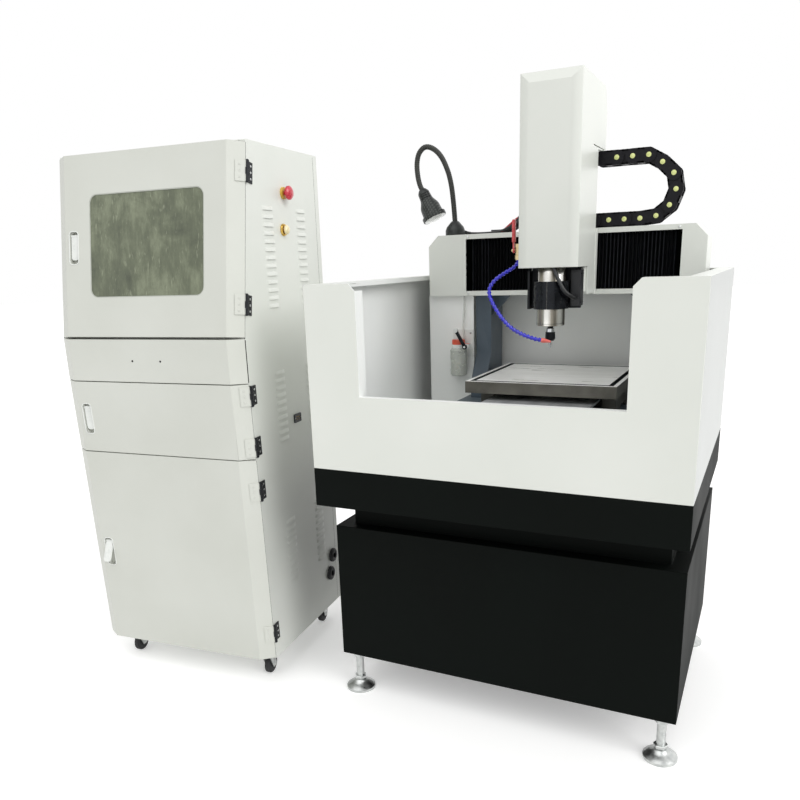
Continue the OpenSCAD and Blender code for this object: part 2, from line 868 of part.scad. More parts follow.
module x_carriage() {
    half = head_w / 2;
    color("#e6e8e6")
        on_machine()
            translate([head_x, 0, 0])
                difference() {
                    union() {
                        block(-half, half, carriage_y, carriage_y + carriage_t, beam_bottom + 2,
                            beam_top - 2);
                        // Bearing blocks, which reach through the window to the rails
                        for (z = x_rail_z, x = [-1, 1])
                            translate([x * (block_w / 2 - 30), 0, 0])
                                block(-30, 30, carriage_y + carriage_t - touch, rail_face_y - 2,
                                    z - 22, z + 22);
                        // Nut of the screw
                        block(-24, 24, carriage_y + carriage_t - touch, screw_y + 12, screw_z - 20,
                            screw_z + 20);
                    }
                    for (z = x_rail_z)
                        block(-block_w, block_w, rail_face_y - 18.3, rail_face_y + 1, z - 10.3, z + 10.3);
                    rod_x(screw_d + 2 * run_gap, -block_w, block_w, screw_y, screw_z);
                }
}

module head_column() {
    color("#dfe2e0")
        on_machine()
            translate([head_x, 0, 0]) {
                difference() {
                    block(-column_half, column_half, column_y, carriage_y, column_z, column_top);
                    // Channel for the screw, open to the front
                    block(column_wall - column_half, column_half - column_wall, column_y - 1,
                        carriage_y - column_wall, column_z + 24, column_top - 16);
                    rod_z(screw_d + 2 * run_gap, 0, z_screw_y, column_z + 6, column_top + 1);
                }
                // Rails on the channel's two edges, down to the blocks' lowest place
                for (s = [-1, 1])
                    translate([s * z_rail_x, 0, 0])
                        block(-rail_w / 2, rail_w / 2, z_rail_y, column_y + touch, low_block_z - z_down,
                            column_top - 16);
                // Bracket for the energy chain's moving end
                block(column_half - 60, column_half, carriage_y - touch, chain_y + chain_w - 8,
                    chain_top_z + link_h / 2 + 0.5, chain_top_z + link_h / 2 + 6);
                block(column_half - 6, column_half + 6, chain_y + 6, chain_y + chain_w - 6,
                    chain_top_z - 8, chain_top_z + link_h / 2 + 3);
            }
}

// The head's folded cover: a bevelled front, two sides and a hood over the motor
module head_cover() {
    half = head_w / 2;
    bevel = 27;
    rise = 12;
    hood_cut = 30;
    profile = [
        [cover_front + rise, cover_z], [column_y + 15, cover_z], [column_y + 15, hood_z],
        [hood_back, hood_z], [hood_back, cover_top - 2 * hood_cut], [hood_back - hood_cut, cover_top],
        [cover_front + rise, cover_top],
    ];
    color("#eef0ee")
        on_machine()
            translate([head_x, 0, 0])
                difference() {
                    union() {
                        run_x(-half, half)
                            polygon(profile);
                        // Raised front panel with bevelled edges
                        hull() {
                            run_y(cover_front + rise - touch, cover_front + rise)
                                translate([-half, cover_z])
                                    square([head_w, cover_h]);
                            run_y(cover_front, cover_front + touch)
                                translate([bevel - half, cover_z])
                                    square([head_w - 2 * bevel, cover_h - bevel]);
                        }
                    }
                    // Hollow for the spindle and slide, open below and behind
                    block(sheet - half, half - sheet, cover_front + rise, column_y + 16, cover_z - 1,
                        cover_top - sheet);
                    block(bevel - half + 2, half - bevel - 2, cover_front + sheet, cover_front + rise + 1,
                        cover_z - 1, cover_top - bevel - 2);
                    // Hollow of the hood
                    block(sheet - half, half - sheet, column_y, hood_back - sheet, hood_z + sheet,
                        cover_top - 2 * hood_cut);
                    block(sheet - half, half - sheet, column_y, hood_back - hood_cut - sheet,
                        hood_z + sheet, cover_top - sheet);
                    block(-40, 40, column_y + 4, carriage_y - 4, hood_z - 1, hood_z + sheet + 1);
                }
}

z_motor_z = column_top + 40;

module z_screw() {
    color("#b4b8ba")
        on_machine()
            translate([head_x, z_screw_y, z_motor_z])
                rotate([0, 90, 0])
                    screw_line(z_motor_z - column_z - 8);
}

module z_motor() {
    color("#202427")
        on_machine()
            translate([head_x, z_screw_y, 0]) {
                translate([0, 0, z_motor_z])
                    rotate([0, 90, 0])
                        motor_body();
                // Four pillars that stand the motor off the column
                for (x = [-1, 1], y = [-1, 1])
                    rod_z(10, x * 24, y * 24, column_top, z_motor_z + 4 + touch);
            }
}

// ---- Spindle ----

module z_slide() {
    block_l = 46;
    color("#17191c")
        on_machine()
            translate([head_x, 0, 0])
                difference() {
                    union() {
                        block(-slide_half, slide_half, slide_y, slide_y + slide_t, slide_z, slide_top);
                        // Bearing blocks on the two rails
                        for (s = [-1, 1], z = [low_block_z, slide_top - block_l])
                            translate([s * z_rail_x, 0, z])
                                block(-12.5, 12.5, slide_y + slide_t - touch, column_y - 1.5, 0, block_l);
                        // Nut of the screw
                        block(-22, 22, slide_y + slide_t - touch, z_screw_y + 20, slide_top - 50,
                            slide_top - 10);
                        // Guard plate beside the clamp
                        block(-slide_half, 6 - slide_half, slide_y - 46, slide_y + touch, slide_z,
                            slide_z + 108);
                    }
                    for (s = [-1, 1])
                        translate([s * z_rail_x, 0, 0])
                            block(-rail_w / 2 - seat_gap, rail_w / 2 + seat_gap,
                                z_rail_y - seat_gap, column_y,
                                slide_z - 1, slide_top + 1);
                    rod_z(screw_d + 2 * run_gap, 0, z_screw_y, slide_top - 51, slide_top - 9);
                }
}

module spindle_clamp() {
    slit = 3;
    lug = 26;
    color("#3a3f44")
        on_machine()
            translate([head_x, spindle_y, 0])
                difference() {
                    union() {
                        rod_z(clamp_d, 0, 0, clamp_z, clamp_z + clamp_h);
                        block(-lug, lug, 0, slide_y - spindle_y, clamp_z, clamp_z + clamp_h);
                    }
                    rod_z(spindle_d, 0, 0, clamp_z - 1, clamp_z + clamp_h + 1);
                    block(-slit / 2, slit / 2, -clamp_d, 0, clamp_z - 1, clamp_z + clamp_h + 1);
                }
}

module spindle_body() {
    color("#c2c2bd")
        on_machine()
            translate([head_x, spindle_y, 0])
                difference() {
                    rotate_extrude($fn = 96)
                        polygon([
                            [0, spindle_z], [spindle_d / 2 - 2, spindle_z], [spindle_d / 2, spindle_z + 2],
                            [spindle_d / 2, spindle_z + spindle_l - 4],
                            [spindle_d / 2 - 4, spindle_z + spindle_l], [14, spindle_z + spindle_l],
                            [14, spindle_z + spindle_l + 14], [0, spindle_z + spindle_l + 14],
                        ]);
                    rod_z(shaft_d + 2 * run_gap, 0, 0, spindle_z - 1, spindle_z + 90);
                }
}

module spindle_shaft() {
    color("#26292c")
        on_machine()
            translate([head_x, spindle_y, 0]) {
                rod_z(shaft_d, 0, 0, nut_z + nut_h - 2, spindle_z + 88);
                rotate_extrude()
                    polygon([
                        [0, nut_z], [nut_d / 2 - 4, nut_z], [nut_d / 2, nut_z + 6],
                        [nut_d / 2, nut_z + nut_h], [0, nut_z + nut_h],
                    ]);
                rod_z(tool_d, 0, 0, tool_z + 4, nut_z + 2);
                translate([0, 0, tool_z])
                    cylinder(d1 = 1, d2 = tool_d, h = 4);
            }
}

// Cable from the front of the terminal box, round the spindle and up to its end
spindle_cable = [
    [67, -38, 26], [68, -58, 24], [62, -78, 30], [49, -94, 44], [36, -101, 68], [24, -103, 92],
    [16, -103, 118], [9, -102, 160], [5, -98, 192], [2, -84, 218], [0, -68, 230], [0, -55, 222],
    [0, -52, 200.3],
];

module terminal_box() {
    color("#1b1d20")
        on_machine()
            translate([head_x, slide_y, slide_z + 8]) {
                block(clamp_d / 2 + 3, column_half - 3, -40, 0, 0, 100);
                tube(spindle_cable, 7, 3, 8);
            }
}

// ---- Coolant ----

module coolant_valve() {
    color("#c9a24b")
        on_machine()
            translate([valve_x, valve_y, valve_z]) {
                rod_z(15, 0, 0, 0, 42);
                cylinder(d = 20, h = 10, $fn = 6);
                translate([0, 0, 32])
                    cylinder(d = 20, h = 10, $fn = 6);
                rod_x(12, 0, 13, 0, 24);
                rod_x(8, -16, 0, 0, 24);
            }
}

module valve_lever() {
    color("#b23a36")
        on_machine()
            translate([valve_x, valve_y, valve_z + 24])
                difference() {
                    union() {
                        rod_x(14, -15, -11, 0, 0);
                        block(-15, -12, -6, 6, 0, 84);
                    }
                    rod_x(8 + 2 * run_gap, -17, 1, 0, 0);
                }
}

module coolant_hose() {
    tip = hose_path[len(hose_path) - 1];
    color("#2b3fd0")
        on_machine()
            translate([valve_x, valve_y, valve_z]) {
                tube(hose_path, 14, 3, 12);
                translate(tip)
                    rotate([0, 100, 24])
                        cylinder(d1 = 14, d2 = 6, h = 24);
            }
}

// ---- Lamp ----

module lamp_stand() {
    color("#22262a")
        on_machine()
            translate([lamp_x, lamp_y, beam_top]) {
                rotate_extrude()
                    polygon([[0, 0], [32, 0], [32, 16], [28, 26], [14, 42], [9, 44], [0, 44]]);
                tube(lamp_neck_path, neck_d, 3, 12);
            }
}

lamp_tip = lamp_neck_path[len(lamp_neck_path) - 1];
neck_end = 0.7;

module lamp_shade() {
    color("#2a2e31")
        on_machine()
            translate([lamp_x, lamp_y, beam_top] + lamp_tip)
                rotate([0, 180 - lamp_tilt, 0])
                    rotate_extrude()
                        polygon([
                            [0, neck_end], [14, neck_end], [19, 9], [21, 34], [30, 52],
                            [lens_d / 2 - 6, shade_l - 12],
                            [lens_d / 2, shade_l - 8], [lens_d / 2, shade_l + 4],
                            [lens_d / 2 - 4, shade_l + 8], [0, shade_l + 12],
                        ]);
}

module lamp_cable() {
    color("#1d1f22")
        on_machine()
            translate([lamp_x, lamp_y, beam_top])
                tube(lamp_cable_path, 7, 3, 10);
}

// ---- Oil pump ----

module oil_pump() {
    color("#d9dcda")
        on_machine()
            translate([oil_x, oil_y, oil_z]) {
                // Bracket on the partition
                block(-30, 42, oil_r + 1, 32, 60, 150);
                block(-10, 12, 10, 32, 92, 104);
                // Pump head and its filler cap
                rod_z(44, 0, 0, 92, 104);
                rod_z(42, 0, 0, 104, 120);
                block(18, 40, -12, 12, 92, 106);
                rod_y(7, 32, -32, -11, 98);
            }
}

module oil_reservoir() {
    color("#dfe3de")
        on_machine()
            translate([oil_x, oil_y, oil_z])
                rotate_extrude()
                    polygon([[0, 0], [oil_r - 2, 0], [oil_r, 3], [oil_r, 86], [oil_r - 6, 92], [0, 92]]);
}

module oil_lever() {
    color("#1c1e20")
        on_machine()
            translate([oil_x + 32, oil_y - 26.5, oil_z + 98])
                rotate([0, -30, 0])
                    difference() {
                        union() {
                            rod_y(15, 0, -4, 4, 0);
                            block(-5, 5, -3, 3, 0, 62);
                            rod_y(14, 0, -6, 6, 62);
                        }
                        rod_y(7 + 2 * run_gap, 0, -7, 7, 0);
                    }
}

module oil_line() {
    color("#d8dbd8")
        on_machine()
            translate([oil_x, oil_y, oil_z])
                tube([[10, 21, 104.3], [10, 22, 130], [9, 24, 170], [11, 26, 210], [12, 27, 261]], 5, 3, 8);
}

// ---- Control cabinet ----

// Front line of the shell behind the doors
function shell_front(i) = face_y[i] + bevel_d + 2;

// Outline of the cabinet's side, drawn in y and z
module side_outline(inset, reach) {
    polygon([
        for (i = [0:4])
            [shell_front(i) - reach, face_z[i] + (i == 0 ? inset : i == 4 ? -inset : 0)],
        [cab_d - inset, cab_top - inset],
        [cab_d - inset, cab_foot + inset],
    ]);
}

// Rows of louvres, by their middle in y and their lowest slot
louvre_l = 60;
louvre_rows = [
    [186, 1185, 13], [390, 1185, 13], [186, 778, 10], [390, 778, 10], [186, 300, 10], [390, 300, 10],
];
runner_z = [door_z2 + 34, door_z2 + 50];

module cabinet_shell() {
    half = cab_w / 2;
    stile = 20;
    color("#dfe1dc")
        on_cabinet() {
            difference() {
                run_x(-half, half)
                    side_outline(0, 0);
                run_x(sheet - half, half - sheet)
                    side_outline(sheet, 40);
                // Louvre slots through both sides
                for (row = louvre_rows, i = [0:row[2] - 1], s = [-1, 1])
                    translate([s * half, row[0], row[1] + i * louvre_pitch])
                        block(-3, 3, -louvre_l / 2, louvre_l / 2, -3, 3);
                // Holes for the buttons, the port and the cable outlets
                for (p = [stop_at, power_at])
                    rod_x(22.4, half - 4, half + 4, p[0], p[1]);
                for (p = [[471, 278], [446, 217]])
                    rod_x(36, half - 4, half + 4, p[0], p[1]);
                // Bores for the casters' swivel pins
                for (p = caster_spots)
                    rod_z(12 + 2 * run_gap, p[0], p[1], cab_foot - 1, cab_foot + sheet + 1);
            }
            // Bosses of the swivel pins
            for (p = caster_spots)
                difference() {
                    rod_z(34, p[0], p[1], cab_foot + sheet - touch, cab_foot + 16);
                    rod_z(12 + 2 * run_gap, p[0], p[1], cab_foot - 1, cab_foot + 14);
                }
            // Shelves between the compartments
            for (i = [1, 2, 3])
                block(touch - half, half - touch, shell_front(i) + 1, cab_d - 1,
                    face_z[i] - sheet / 2, face_z[i] + sheet / 2);
            // Stiles that the doors close against
            for (s = [-1, 1])
                run_x(s < 0 ? sheet - half - touch : half - stile,
                    s < 0 ? stile - half : half - sheet + touch)
                    polygon([
                        for (i = [0:4]) [shell_front(i), face_z[i]],
                        for (i = [4:-1:0]) [shell_front(i) + sheet, face_z[i]],
                    ]);
            // Runners of the drawer
            for (s = [-1, 1])
                difference() {
                    translate([s * (half - sheet / 2), 0, 0])
                        block(s < 0 ? 0 : -40, s < 0 ? 40 : 0, 40, 440, runner_z[0] - 8, runner_z[1] + 8);
                    translate([s * (half - 42), 0, 0])
                        block(s < 0 ? -16 : 0, s < 0 ? 0 : 16, 30, 441, runner_z[0], runner_z[1]);
                }
        }
}

// Angle and length of the front face between two levels
function face_tilt(i) = atan2(face_y[i + 1] - face_y[i], face_z[i + 1] - face_z[i]);
function face_len(i) = norm([face_y[i + 1] - face_y[i], face_z[i + 1] - face_z[i]]);

// Puts what is drawn against an upright front, from 0 up, on the face between two levels
module on_face(i) {
    on_cabinet()
        translate([0, face_y[i], face_z[i]])
            rotate([-face_tilt(i), 0, 0])
                children();
}

// A folded pan: front, two bevels, edges turned in, closed at its top and foot
module door_pan(l, foot = door_gap / 2) {
    turn = 18;
    half = cab_w / 2;
    head = l - door_gap / 2;
    difference() {
        raised(foot, head)
            polygon([[-half, bevel_d], [-door_half, 0], [door_half, 0], [half, bevel_d]]);
        raised(foot + sheet, head - sheet)
            polygon([
                [-half + 2 * sheet, bevel_d - sheet], [-door_half + 0.6, sheet], [door_half - 0.6, sheet],
                [half - 2 * sheet, bevel_d - sheet],
            ]);
        raised(foot + sheet, head - sheet)
            translate([turn - half, bevel_d - 2 * sheet])
                square([cab_w - 2 * turn, 3 * sheet]);
    }
}

// Latch cup behind a slot in a door, with the pin that the lever hangs on
module latch_cup(z) {
    translate([latch_x, 0, z]) {
        difference() {
            run_y(sheet - touch, latch_deep + 2)
                round_rect(latch_w + 4, latch_l + 4, 12);
            run_y(0, latch_deep)
                round_rect(latch_w, latch_l, 10);
        }
        rod_x(5, -latch_w / 2 - 1, latch_w / 2 + 1, 8, latch_l / 2 - 12);
    }
}

module latch_slot(z) {
    translate([latch_x, 0, z])
        run_y(-1, sheet + 1)
            round_rect(latch_w, latch_l, 10);
}

// Door side of a hinge: a leaf on the bevel and two knuckles
module hinge_leaf(z) {
    lean = atan2(bevel_d, bevel_w);
    translate([cab_w / 2, hinge_y, z]) {
        difference() {
            union() {
                rotate([0, 0, lean])
                    block(-28, 2, -3.2, 0.2, -hinge_half, hinge_half);
                for (s = [-1, 1])
                    translate([knuckle_x, 0, s * (knuckle_half + hinge_half) / 2])
                        rod_z(knuckle_d, 0, 0, (knuckle_half - hinge_half) / 2 + seat_gap,
                            (hinge_half - knuckle_half) / 2 - seat_gap);
            }
            rod_z(pin_d + 2 * run_gap, knuckle_x, 0, -hinge_half - 1, hinge_half + 1);
            // Room for the knuckle between
            rod_z(knuckle_d + 1, knuckle_x, 0, -knuckle_half - seat_gap, knuckle_half + seat_gap);
        }
    }
}

// Heights of the hinges and latches along each door
upper_len = face_len(3);
middle_len = face_len(1);
lower_len = face_len(0);
upper_hinges = [98, upper_len - 80];
middle_hinges = [36, middle_len - 36];
lower_hinges = [88, lower_len - 100];
upper_latch_z = upper_len / 2;
middle_latch_z = middle_len / 2 - 6;
lower_latch_z = lower_len / 2 - 12;
pane_l = latch_x + latch_w / 2 + pane_gap;
pane_r = door_half - pane_side;
pane_w = pane_r - pane_l;
pane_x = (pane_l + pane_r) / 2;
pane_z = upper_len / 2 + 2;

module upper_door() {
    color("#e3e5e0")
        on_face(3) {
            difference() {
                door_pan(upper_len, door_gap / 2 + bevel_d * tan(face_tilt(3)));
                latch_slot(upper_latch_z);
                translate([pane_x, 0, pane_z])
                    run_y(-1, sheet + 1)
                        round_rect(pane_w, pane_h, 26);
            }
            latch_cup(upper_latch_z);
            for (z = upper_hinges)
                hinge_leaf(z);
        }
}

module window() {
    color("#8f978a")
        on_face(3)
            translate([pane_x, 0, pane_z])
                run_y(sheet, sheet + 4)
                    round_rect(pane_w + 16, pane_h + 20, 8);
}

module middle_door() {
    color("#e0e2dd")
        on_face(1) {
            difference() {
                door_pan(middle_len);
                latch_slot(middle_latch_z);
            }
            latch_cup(middle_latch_z);
            for (z = middle_hinges)
                hinge_leaf(z);
        }
}

module lower_door() {
    color("#e0e2dd")
        on_face(0) {
            difference() {
                door_pan(lower_len);
                latch_slot(lower_latch_z);
            }
            latch_cup(lower_latch_z);
            for (z = lower_hinges)
                hinge_leaf(z);
        }
}

// A latch's lever, hung from its pin and turned out by an angle
module latch_lever(z, out) {
    color("#e8eae6")
        translate([latch_x, 8, z + latch_l / 2 - 12])
            rotate([-out, 0, 0])
                difference() {
                    union() {
                        rod_x(10, 2 - latch_w / 2, latch_w / 2 - 2, 0, 0);
                        translate([0, 0, -34])
                            run_y(-4, 2)
                                round_rect(latch_w - 6, 72, 9);
                    }
                    rod_x(5 + 2 * run_gap, -latch_w, latch_w, 0, 0);
                }
}

module upper_latch() {
    on_face(3)
        latch_lever(upper_latch_z, 0);
}

module middle_latch() {
    on_face(1)
        latch_lever(middle_latch_z, 0);
}

module lower_latch() {
    on_face(0)
        latch_lever(lower_latch_z, 25);
}

module keyboard_drawer() {
    box_half = cab_w / 2 - 46;
    box_back = 430;
    z0 = 12;
    color("#e0e2dd")
        on_face(2) {
            difference() {
                door_pan(face_len(2));
                for (x = [-50, 50])
                    rod_y(6, x, -1, sheet + 1, face_len(2) / 2);
            }
            // Tray for the keyboard, open at the top
            difference() {
                block(-box_half, box_half, sheet - touch, box_back, z0, z0 + 60);
                block(1.5 - box_half, box_half - 1.5, bevel_d, box_back - 1.5, z0 + 1.5, z0 + 61);
                block(1.5 - box_half, box_half - 1.5, sheet, bevel_d - sheet, z0 + 1.5, z0 + 58.5);
            }
            // Slides, which ride in the shell's runners
            for (s = [-1, 1])
                translate([s * box_half, 0, 0])
                    block(s < 0 ? -14 : -1, s < 0 ? 1 : 14, 70, box_back,
                        runner_z[0] - door_z2 + 0.5, runner_z[1] - door_z2 - 0.5);
            // Keyboard
            block(-220, 220, 80, 220, z0 + 1.4, z0 + 22);
        }
}

// Cabinet side of one hinge, drawn on the face between two levels
module hinge_plate(i, z) {
    on_face(i)
        translate([cab_w / 2, hinge_y, z]) {
            block(0, 3, 6, 32, -hinge_half, hinge_half);
            block(0, 3, 1.6, 7, -knuckle_half, knuckle_half);
            rod_z(knuckle_d, knuckle_x, 0, -knuckle_half, knuckle_half);
            rod_z(pin_d, knuckle_x, 0, -hinge_half, hinge_half);
        }
}

module door_hinges() {
    color("#1a1c1e") {
        for (z = upper_hinges)
            hinge_plate(3, z);
        for (z = middle_hinges)
            hinge_plate(1, z);
        for (z = lower_hinges)
            hinge_plate(0, z);
    }
}

// ---- Buttons, port and cable outlets on the cabinet's side ----

module panel_fittings() {
    half = cab_w / 2;
    color("#26292b")
        on_cabinet() {
            // Collars of the stop and power buttons, with the switch bodies inside
            for (p = [stop_at, power_at])
                difference() {
                    union() {
                        rod_x(30, half, half + 6, p[0], p[1]);
                        rod_x(22, half - 30, half + touch, p[0], p[1]);
                    }
                    rod_x(12 + 2 * run_gap, half - 24, half + 7, p[0], p[1]);
                }
            // Port
            block(half, half + 4, 256, 297, 814, 840);
            // Rubber cable outlets
            for (p = [[471, 278], [446, 217]])
                difference() {
                    union() {
                        rod_x(48, half, half + 7, p[0], p[1]);
                        rod_x(36, half - 8, half + touch, p[0], p[1]);
                    }
                    rod_x(20, half - 9, half + 8, p[0], p[1]);
                }
        }
}

module stop_button() {
    color("#b3202c")
        on_cabinet()
            translate([cab_w / 2, stop_at[0], stop_at[1]])
                rotate([0, 90, 0]) {
                    translate([0, 0, -14])
                        cylinder(d = 12, h = 30);
                    rotate_extrude()
                        polygon([[0, 14], [13, 14], [button_d / 2, 18], [button_d / 2, 24],
                            [button_d / 2 - 5, 29], [8, 31], [0, 31]]);
                }
}

module power_button() {
    color("#e6dcc0")
        on_cabinet()
            translate([cab_w / 2, power_at[0], power_at[1]])
                rotate([0, 90, 0]) {
                    translate([0, 0, -14])
                        cylinder(d = 12, h = 26);
                    rotate_extrude()
                        polygon([[0, 10], [13, 10], [14, 14], [10, 18], [4, 20], [0, 20]]);
                }
}

// Computer, power supply and drives behind the lower door
module computer() {
    floor_z = cab_foot + sheet;
    back = cab_d - sheet;
    board_half = cab_w / 2 - 85;
    color("#3c4246")
        on_cabinet() {
            // Panel on the back wall, with a row of drives
            block(-board_half, board_half, back - 8, back, floor_z + 200, floor_z + 560);
            for (i = [-1, 0, 1])
                translate([i * 120, 0, 0])
                    block(-42, 42, back - 100, back - 8 + touch, floor_z + 330, floor_z + 500);
            block(40 - board_half, 220 - board_half, back - 60, back - 8 + touch, floor_z + 230,
                floor_z + 300);
            // Computer on the floor
            block(-board_half, 180 - board_half, 90, 470, floor_z, floor_z + 180);
        }
}

module monitor() {
    back = 110;
    color("#1c1e20")
        on_cabinet() {
            // Foot on the shelf, and the screen behind the window
            block(-110, 110, back - 10, back + 130, door_z3 + sheet / 2, door_z3 + 9);
            block(-30, 30, back + 56, back + 72, door_z3 + 9 - touch, door_z3 + 250);
            block(-235, 235, back + 20, back + 58, door_z3 + 100, door_z3 + 400);
        }
}

// ---- Casters ----

caster_w = 24;

module caster_fork(i) {
    p = caster_spots[i];
    wheel_z = wheel_d / 2;
    color("#a9adaf")
        on_cabinet()
            translate([p[0], p[1], 0]) {
                rod_z(12, 0, 0, cab_foot - 6, cab_foot + 13);
                rod_z(44, 0, 0, cab_foot - 8, cab_foot - 2);
                for (s = [-1, 1])
                    translate([s * (caster_w / 2 + 2.5), 0, 0])
                        run_x(-1.5, 1.5)
                            polygon([[-14, cab_foot - 6], [14, cab_foot - 6],
                                [caster_trail + 10, wheel_z + 6],
                                [caster_trail + 8, wheel_z - 8], [caster_trail - 8, wheel_z - 8]]);
                rod_x(8, -caster_w / 2 - 6, caster_w / 2 + 6, caster_trail, wheel_z);
            }
}

module caster_wheel(i) {
    p = caster_spots[i];
    color("#17181a")
        on_cabinet()
            translate([p[0], p[1] + caster_trail, wheel_d / 2])
                rotate([0, 90, 0])
                    rotate_extrude()
                        polygon([
                            [4 + run_gap, -caster_w / 2], [12, -caster_w / 2], [14, -caster_w / 2 + 3],
                            [wheel_d / 2 - 6, -caster_w / 2 + 3], [wheel_d / 2, -caster_w / 2 + 6],
                            [wheel_d / 2, caster_w / 2 - 6], [wheel_d / 2 - 6, caster_w / 2 - 3],
                            [14, caster_w / 2 - 3], [12, caster_w / 2], [4 + run_gap, caster_w / 2],
                        ]);
}

stand();
levelling_feet();
skirt_deck();
bed();
splash_tray();
gantry_frame();
end_covers();
guide_rails();
axis_motors();
x_screw();
y_screw();
bellows_left();
bellows_right();
energy_chain();
way_cover();
saddle();
table();
x_carriage();
head_column();
head_cover();
z_screw();
z_motor();
z_slide();
spindle_clamp();
spindle_body();
terminal_box();
spindle_shaft();
coolant_valve();
valve_lever();
coolant_hose();
lamp_stand();
lamp_shade();
lamp_cable();
oil_pump();
oil_reservoir();
oil_lever();
oil_line();
cabinet_shell();
upper_door();
window();
middle_door();
lower_door();
keyboard_drawer();
door_hinges();
upper_latch();
middle_latch();
lower_latch();
panel_fittings();
stop_button();
power_button();
monitor();
computer();
caster_fork(0);  // caster_fork_1
caster_fork(1);  // caster_fork_2
caster_fork(2);  // caster_fork_3
caster_fork(3);  // caster_fork_4
caster_wheel(0);  // caster_wheel_1
caster_wheel(1);  // caster_wheel_2
caster_wheel(2);  // caster_wheel_3
caster_wheel(3);  // caster_wheel_4
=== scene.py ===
# %% [markdown]
# # A metal mould engraving machine and its control cabinet
# The CAD model brings every piece at its real size. This lesson gives each of them its real surface,
# and adds the small things that a maker would fit: screws, pleats, links, louvres and cables.
# We start by loading the CAD model as a fixed frame.

# %% Load the frame
import json
import math

import bmesh
import bpy
from mathutils import Matrix, Vector

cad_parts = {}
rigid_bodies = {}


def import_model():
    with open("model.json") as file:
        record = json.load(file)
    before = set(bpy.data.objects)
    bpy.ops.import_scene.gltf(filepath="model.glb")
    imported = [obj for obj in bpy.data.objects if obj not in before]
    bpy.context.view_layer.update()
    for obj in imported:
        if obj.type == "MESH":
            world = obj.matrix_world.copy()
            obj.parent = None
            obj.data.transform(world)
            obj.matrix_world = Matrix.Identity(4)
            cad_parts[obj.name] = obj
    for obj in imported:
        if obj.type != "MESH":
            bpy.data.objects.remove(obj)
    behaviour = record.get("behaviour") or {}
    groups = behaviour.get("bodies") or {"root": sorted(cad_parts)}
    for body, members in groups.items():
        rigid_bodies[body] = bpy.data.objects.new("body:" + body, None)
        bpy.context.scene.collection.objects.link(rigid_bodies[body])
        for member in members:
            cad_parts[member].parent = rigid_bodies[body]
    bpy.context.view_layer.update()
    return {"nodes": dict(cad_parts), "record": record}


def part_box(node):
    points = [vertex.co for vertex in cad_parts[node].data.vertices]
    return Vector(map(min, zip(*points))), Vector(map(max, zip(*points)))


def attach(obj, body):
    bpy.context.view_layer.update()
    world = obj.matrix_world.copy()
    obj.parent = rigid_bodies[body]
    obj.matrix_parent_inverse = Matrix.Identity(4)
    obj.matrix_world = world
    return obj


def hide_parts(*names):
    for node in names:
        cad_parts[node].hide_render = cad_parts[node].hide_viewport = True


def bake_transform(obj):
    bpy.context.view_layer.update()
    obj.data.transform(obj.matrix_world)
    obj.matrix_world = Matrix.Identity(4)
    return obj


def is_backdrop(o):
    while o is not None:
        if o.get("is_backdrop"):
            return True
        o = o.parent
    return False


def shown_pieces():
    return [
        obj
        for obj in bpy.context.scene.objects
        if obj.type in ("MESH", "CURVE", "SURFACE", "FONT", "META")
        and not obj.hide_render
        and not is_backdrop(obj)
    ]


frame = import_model()
print("nodes in the frame:", len(frame["nodes"]))

# %% [markdown]
# ## Two working frames
# Drawings of a machine are read in millimetres from its own corner, so we keep two working frames. One
# turns a point of the machine's drawing into the scene, the other does it for the cabinet, which
# stands beside the machine at a slight angle. The machine's place comes from its splash tray.

# %% Frames of the machine and the cabinet
MM = 0.001
tray_low, tray_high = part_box("splash_tray")
TRAY_W = (tray_high.x - tray_low.x) / MM
MACHINE = Matrix.Translation(((tray_low.x + tray_high.x) / 2, tray_low.y, 0)) @ Matrix.Scale(MM, 4)

CAB_W = 650
CAB_GAP = 205
CAB_YAW = math.radians(5.4)
CAB_FRONT = -30
cab_x = -TRAY_W / 2 - CAB_GAP - CAB_W / 2 * math.cos(CAB_YAW)
CABINET = MACHINE @ Matrix.Translation((cab_x, CAB_FRONT, 0)) @ Matrix.Rotation(CAB_YAW, 4, "Z")
print("cabinet's middle:", round(cab_x), "mm from the machine's, turned", round(math.degrees(CAB_YAW), 1))

# %% [markdown]
# ## The slanted front
# The cabinet's front isn't one plane. It leans in four steps, and a door or a drawer lies on each, so a
# frame on each step lets us draw hinges and latches as if the front were upright. Two more helpers
# give a drawing's point in the scene, and a place with a turn inside a frame.

# %% Places on the cabinet's front
# Height and depth of the cabinet's front face at each level, and its lean between two levels
FACE_Z = [93, 754, 978, 1107, 1637]
FACE_Y = [0, -17.2, -23, -23, 67]


def cabinet_face(i):
    """The frame of the cabinet's front between two levels: x right, z up the face, y into the cabinet."""
    lean = math.atan2(FACE_Y[i + 1] - FACE_Y[i], FACE_Z[i + 1] - FACE_Z[i])
    return CABINET @ Matrix.Translation((0, FACE_Y[i], FACE_Z[i])) @ Matrix.Rotation(-lean, 4, "X")


def face_length(i):
    """The length of the front between two levels, up its slope."""
    return math.hypot(FACE_Y[i + 1] - FACE_Y[i], FACE_Z[i + 1] - FACE_Z[i])


def spot(place, *point):
    """A point of a working frame, in the scene."""
    return place @ Vector(point)


def placed(point, degrees=0, axis="X"):
    """A place inside a working frame: a point, and a turn about one axis there."""
    return Matrix.Translation(point) @ Matrix.Rotation(math.radians(degrees), 4, axis)


print("lengths of the front's steps:", [round(face_length(i)) for i in range(4)], "mm")

# %% [markdown]
# ## The camera
# A camera is a place, a direction and a lens. It stands to the right of the set at head height and
# looks 16 degrees down. A small shift keeps upright edges as they are while the set sits in the middle.

